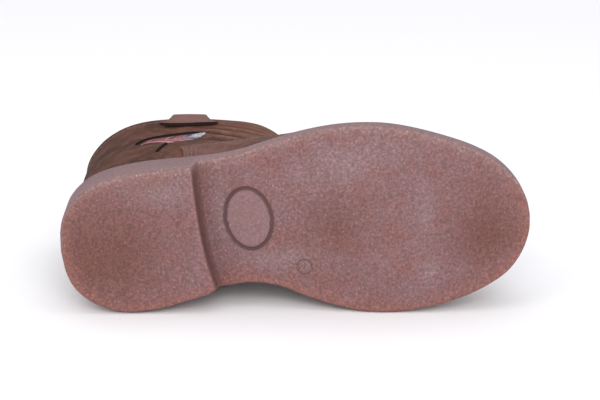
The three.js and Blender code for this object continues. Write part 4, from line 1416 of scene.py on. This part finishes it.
# %% Stitch lines of the collar and the strap
collar_turns = np.linspace(0, 2 * math.pi, 1200)
collar_rises = np.full(1200, 1.0)
for _ in range(20):
    gap_above = skin_point(collar_turns, collar_rises)[:, 2] - (SHAFT_HEIGHT - 3.6)
    collar_rises = np.clip(collar_rises - 0.7 * gap_above / SHAFT_HEIGHT, 0, 1)
collar_line = skin(collar_turns, collar_rises, -0.2)
collar_normals = skin_normal(collar_turns, collar_rises)
off_strap = np.abs(collar_line[:, 0] - STRAP_PLACE) > STRAP_FOOT_WIDTH / 2 + 0.8
outer_half = collar_line[:, 1] < 0
for part_of in (outer_half & off_strap & (collar_line[:, 0] > STRAP_PLACE),
                outer_half & off_strap & (collar_line[:, 0] < STRAP_PLACE), ~outer_half):
    order = np.flatnonzero(part_of)
    gap_at = np.flatnonzero(np.diff(order) > 1)
    for run_of in np.split(order, gap_at + 1):
        if len(run_of) > 20:
            stitch_groups.append(stitches(collar_line[run_of], collar_normals[run_of]))

STRAP_SEWN = 1.9  # mm in from the strap's sides
down = np.linspace(-STRAP_BELOW + 1.6, -1.5, 120)
corners = 1 - STRAP_SEWN / strap_half(down)
strap_paths = [((corners * side)[12:], down[12:]) for side in (1, -1)]
strap_paths.append((np.linspace(-corners[0], corners[0], 120), np.full(120, down[0])))
for side_at, up_at in strap_paths:
    face = np.full(len(up_at), STRAP_GAP + STRAP_THICKNESS)
    line = strap_point(side_at, up_at, face)
    under = strap_point(side_at, up_at, face - 1)
    stitch_groups.append(stitches(line, line - under))
print(len(stitch_groups), "lines in all")

# %% Stitches object
stitch_centres = np.concatenate([centres for centres, _ in stitch_groups])
stitch_normals = np.concatenate([lift for _, lift in stitch_groups])
points, faces, _ = tubes(stitch_centres, stitch_normals, THREAD_RADIUS)
seams = make_object("sewn_stitches", points, faces, [sewing_thread], sharp=60)
register(seams, "nubuck")
print(len(stitch_centres), "stitches")

# %% [markdown]
# ## The embroidered inlay
#
# Behind the leaf-shaped window lies a felt backing with a feather in satin stitch. Every barb is
# one thread from the shaft of the feather out to the edge, a little raised in the middle. The
# threads are rayon, which shines along its length, and at the tip there is metallic thread:
# plastic foil wound round a core. The picture is a plain feather, drawn by its rule alone.

# %% Backing
# The felt is near black: a real backing, and where it shows round the feather it is also painted
# shade inside the window.
felt, tree, shader, place = new_material("pressed_wool_felt")
fuzz = noise(tree, place, 0.5, 3.0)
felt_and_shade_tone = blend(tree, fuzz, "#1d1415", "#3b2a2b")
dress(tree, shader, felt_and_shade_tone, {"Roughness": 0.95}, fuzz, 0.5, 0.2)

FELT_FACE = -0.9  # mm, out from the skin
FELT_BACK = -1.5


def leaf_place(points):
    """Angle and rise of points in the leaf's own plane."""
    return place_on(*in_side_view(points, (INLAY["x"], INLAY["z"]), INLAY["turn"]), -1)


leaf_edge = leaf(GAP)
rings_in = np.linspace(1, 0.04, 14)
felt_plan = (leaf_edge[None] * rings_in[:, None, None]).reshape(-1, 2)
felt_angle, felt_rise = leaf_place(felt_plan)
felt_front = skin(felt_angle, felt_rise, FELT_FACE)
felt_rear = skin(felt_angle, felt_rise, FELT_BACK)
rim_count, layer_count = len(leaf_edge), len(felt_plan)
rim_ids = np.arange(rim_count)
rim_next = np.roll(rim_ids, -1)
felt_faces = grid_faces(len(rings_in), rim_count, closed=True).tolist()
rear_faces = grid_faces(len(rings_in), rim_count, first=layer_count, closed=True, flipped=True)
felt_faces += rear_faces.tolist()
felt_faces.append((layer_count - rim_count + rim_ids).tolist())
felt_faces.append((2 * layer_count - rim_count + rim_ids)[::-1].tolist())
edge_faces = np.stack([rim_ids, rim_ids + layer_count, rim_next + layer_count, rim_next], -1)
felt_faces += edge_faces.tolist()
felt_points = np.concatenate([felt_front, felt_rear])
backing = make_object("inlay_felt", felt_points, felt_faces, [felt], sharp=50)
register(backing, "inlay", "inlay")

# %% Barbs of the feather
BARB_PITCH = 0.42  # mm
BARB_TURN = math.radians(36)
BARB_RADIUS = 0.25
SHAFT_RADIUS = 0.28
SHAFT_LINE = -0.1  # the shaft lies a little below the middle

low_half, high_half = leaf_edge[: rim_count // 2], leaf_edge[rim_count // 2 :][::-1]


def leaf_room(u, v, top_inset, low_inset):
    """Is a place inside the leaf, drawn in at its upper and lower edge?"""
    high = np.interp(u, high_half[:, 0], high_half[:, 1]) - top_inset
    low = np.interp(u, low_half[:, 0], low_half[:, 1]) + low_inset
    return (v < high) & (v > low) & (np.abs(u) < leaf_edge[:, 0].max() - 0.3)


shaft_u = np.arange(-14.8, 15.2, BARB_PITCH)
# Gaps between the barbs, above (1) and below (-1) the shaft, in mm along it.
SPLITS = {
    1: ((-11.2, -10.3), (-2.4, -1.6), (9.0, 9.9)),
    -1: ((-13.2, -12.4), (-6.4, -5.3), (6.2, 7.1)),
}
barb_u, barb_v, barb_root, barb_side = [], [], [], []
reach_steps = np.linspace(0, 11, 111)
for side in (1, -1):
    for root in shaft_u:
        u = root + reach_steps * math.cos(BARB_TURN)
        v = SHAFT_LINE + side * reach_steps * math.sin(BARB_TURN)
        # The barbs stop 2.2 mm short of the leaf's upper edge, so bare dark felt shows there as
        # painted shade under the window's edge.
        inside = leaf_room(u, v, 2.2, 0.5)
        length = reach_steps[np.argmin(inside)] if not inside.all() else reach_steps[-1]
        if length < 0.8 or any(low < root < high for low, high in SPLITS[side]):
            continue
        run = np.linspace(0, length, 8)
        barb_u.append(root + run * math.cos(BARB_TURN))
        barb_v.append(SHAFT_LINE + side * run * math.sin(BARB_TURN))
        barb_root.append(root)
        barb_side.append(side)
barb_u, barb_v = np.array(barb_u), np.array(barb_v)
barb_root, barb_side = np.array(barb_root), np.array(barb_side)
print(len(barb_u), "barbs")

# %% Colours of the threads
# Order of the threads, from the root of the feather to its tip.
THREADS = {
    "red": thread_material("rayon_thread_red", "#5c1922", "#963a42", roughness=0.38),
    "pink_highlight": thread_material("rayon_thread_pink_highlight", "#9d666a", "#dcb6b7", roughness=0.35),
    "navy": thread_material("rayon_thread_navy", "#17182f", "#3a3d63", roughness=0.38),
    "lilac": thread_material("rayon_thread_lilac", "#6f6a86", "#b4afc8", roughness=0.38),
    "silver": thread_material(
        "metallic_thread_silver", "#b9b6b6", "#ffffff", metallic=0.85, roughness=0.3
    ),
}
names = list(THREADS)
chance = np.random.default_rng(7)
# Pink threads among the red, more on the lower half, and the pink shaft along the feather are
# painted highlight.
barb_slot = []
for root, side in zip(barb_root, barb_side):
    if root < (4 if side > 0 else 0.5):
        highlight_share = 0.12 if side > 0 else 0.55
        colour = "pink_highlight" if chance.random() < highlight_share else "red"
    elif root < (8.5 if side > 0 else 6.5):
        colour = "navy" if chance.random() < (0.8 if side > 0 else 0.4) else "lilac"
    else:
        colour = "silver" if chance.random() < 0.68 else "lilac"
    barb_slot.append(names.index(colour))
print({name: barb_slot.count(i) for i, name in enumerate(names)})

# %% Feather object
barb_angle, barb_rise = leaf_place(np.stack([barb_u, barb_v], -1))
t = np.linspace(0, 1, 8)
barb_out = FELT_FACE + 0.1 + 0.42 * np.sin(math.pi * (0.12 + 0.84 * t)) ** 0.7
barb_centres = skin(barb_angle, barb_rise, np.broadcast_to(barb_out, barb_u.shape))
barb_normals = skin_normal(barb_angle, barb_rise)
thin = BARB_RADIUS * (0.55 + 0.45 * np.sin(math.pi * (0.1 + 0.8 * t)))
points, faces, owner = tubes(barb_centres, barb_normals, thin[None, :])

shaft_at = np.linspace(-15.2, 15.6, 60)
shaft_angle, shaft_rise = leaf_place(np.stack([shaft_at, np.full(60, SHAFT_LINE)], -1))
shaft_line = skin(shaft_angle, shaft_rise, FELT_FACE + SHAFT_RADIUS)[None]
shaft_normals = skin_normal(shaft_angle, shaft_rise)[None]
shaft_points, shaft_faces, _ = tubes(shaft_line, shaft_normals, SHAFT_RADIUS)
slots = [barb_slot[i] for i in owner] + [names.index("pink_highlight")] * len(shaft_faces)
faces += [[i + len(points) for i in face] for face in shaft_faces]
feather = make_object(
    "embroidered_feather", np.concatenate([points, shaft_points]), faces, list(THREADS.values()),
    face_slots=slots, sharp=60,
)
register(feather, "inlay", "inlay")

# %% [markdown]
# ## Floor and studio light
#
# A pale floor runs far past the picture. The light is what a product table gives: an even white
# surround, a wide soft lamp over the boot, a weak one from the upper left and one over the
# camera, whose shadow falls behind the boot. Large lamps leave the grain readable.

# %% Stage
paper, _, shader, _ = new_material("matt_white_paper")
shader.inputs["Base Color"].default_value = linear("#fafafa")
shader.inputs["Roughness"].default_value = 0.9
shader.inputs["Specular IOR Level"].default_value = 0.1

floor_mesh = bpy.data.meshes.new("floor")
FLOOR_HALF = 6.0  # metres
floor_signs = ((-1, -1), (1, -1), (1, 1), (-1, 1))
floor_corners = [(x * FLOOR_HALF, y * FLOOR_HALF, 0) for x, y in floor_signs]
floor_mesh.from_pydata(floor_corners, [], [(0, 1, 2, 3)])
floor_mesh.materials.append(paper)
floor = bpy.data.objects.new("floor", floor_mesh)
bpy.context.collection.objects.link(floor)

world = bpy.data.worlds.new("surround")
bpy.context.scene.world = world
world.use_nodes = True
world.node_tree.nodes["Background"].inputs["Color"].default_value = linear("#fbfbff")
world.node_tree.nodes["Background"].inputs["Strength"].default_value = 0.8
bpy.context.scene.view_settings.view_transform = "Standard"

# Place and size in metres, power in watts and a colour.
LAMPS = {
    "overhead": ((0.0, 0.25, 1.5), 1.4, 4.5, "#f2f5ff"),
    "upper_left": ((-0.9, -0.9, 0.9), 0.8, 3.0, "#fff8f2"),
    "over_camera": ((0.1, -1.25, 0.66), 0.7, 9.0, "#ffffff"),
}
for name, (spot_at, size, power, tint) in LAMPS.items():
    lamp = bpy.data.lights.new(name, "AREA")
    lamp.size = size
    lamp.energy = power
    lamp.color = linear(tint)[:3]
    lamp_object = bpy.data.objects.new(name, lamp)
    lamp_object.location = spot_at
    toward = Vector(spot_at) - Vector((0, 0, 0.03))
    lamp_object.rotation_euler = toward.to_track_quat("Z", "Y").to_euler()
    bpy.context.collection.objects.link(lamp_object)
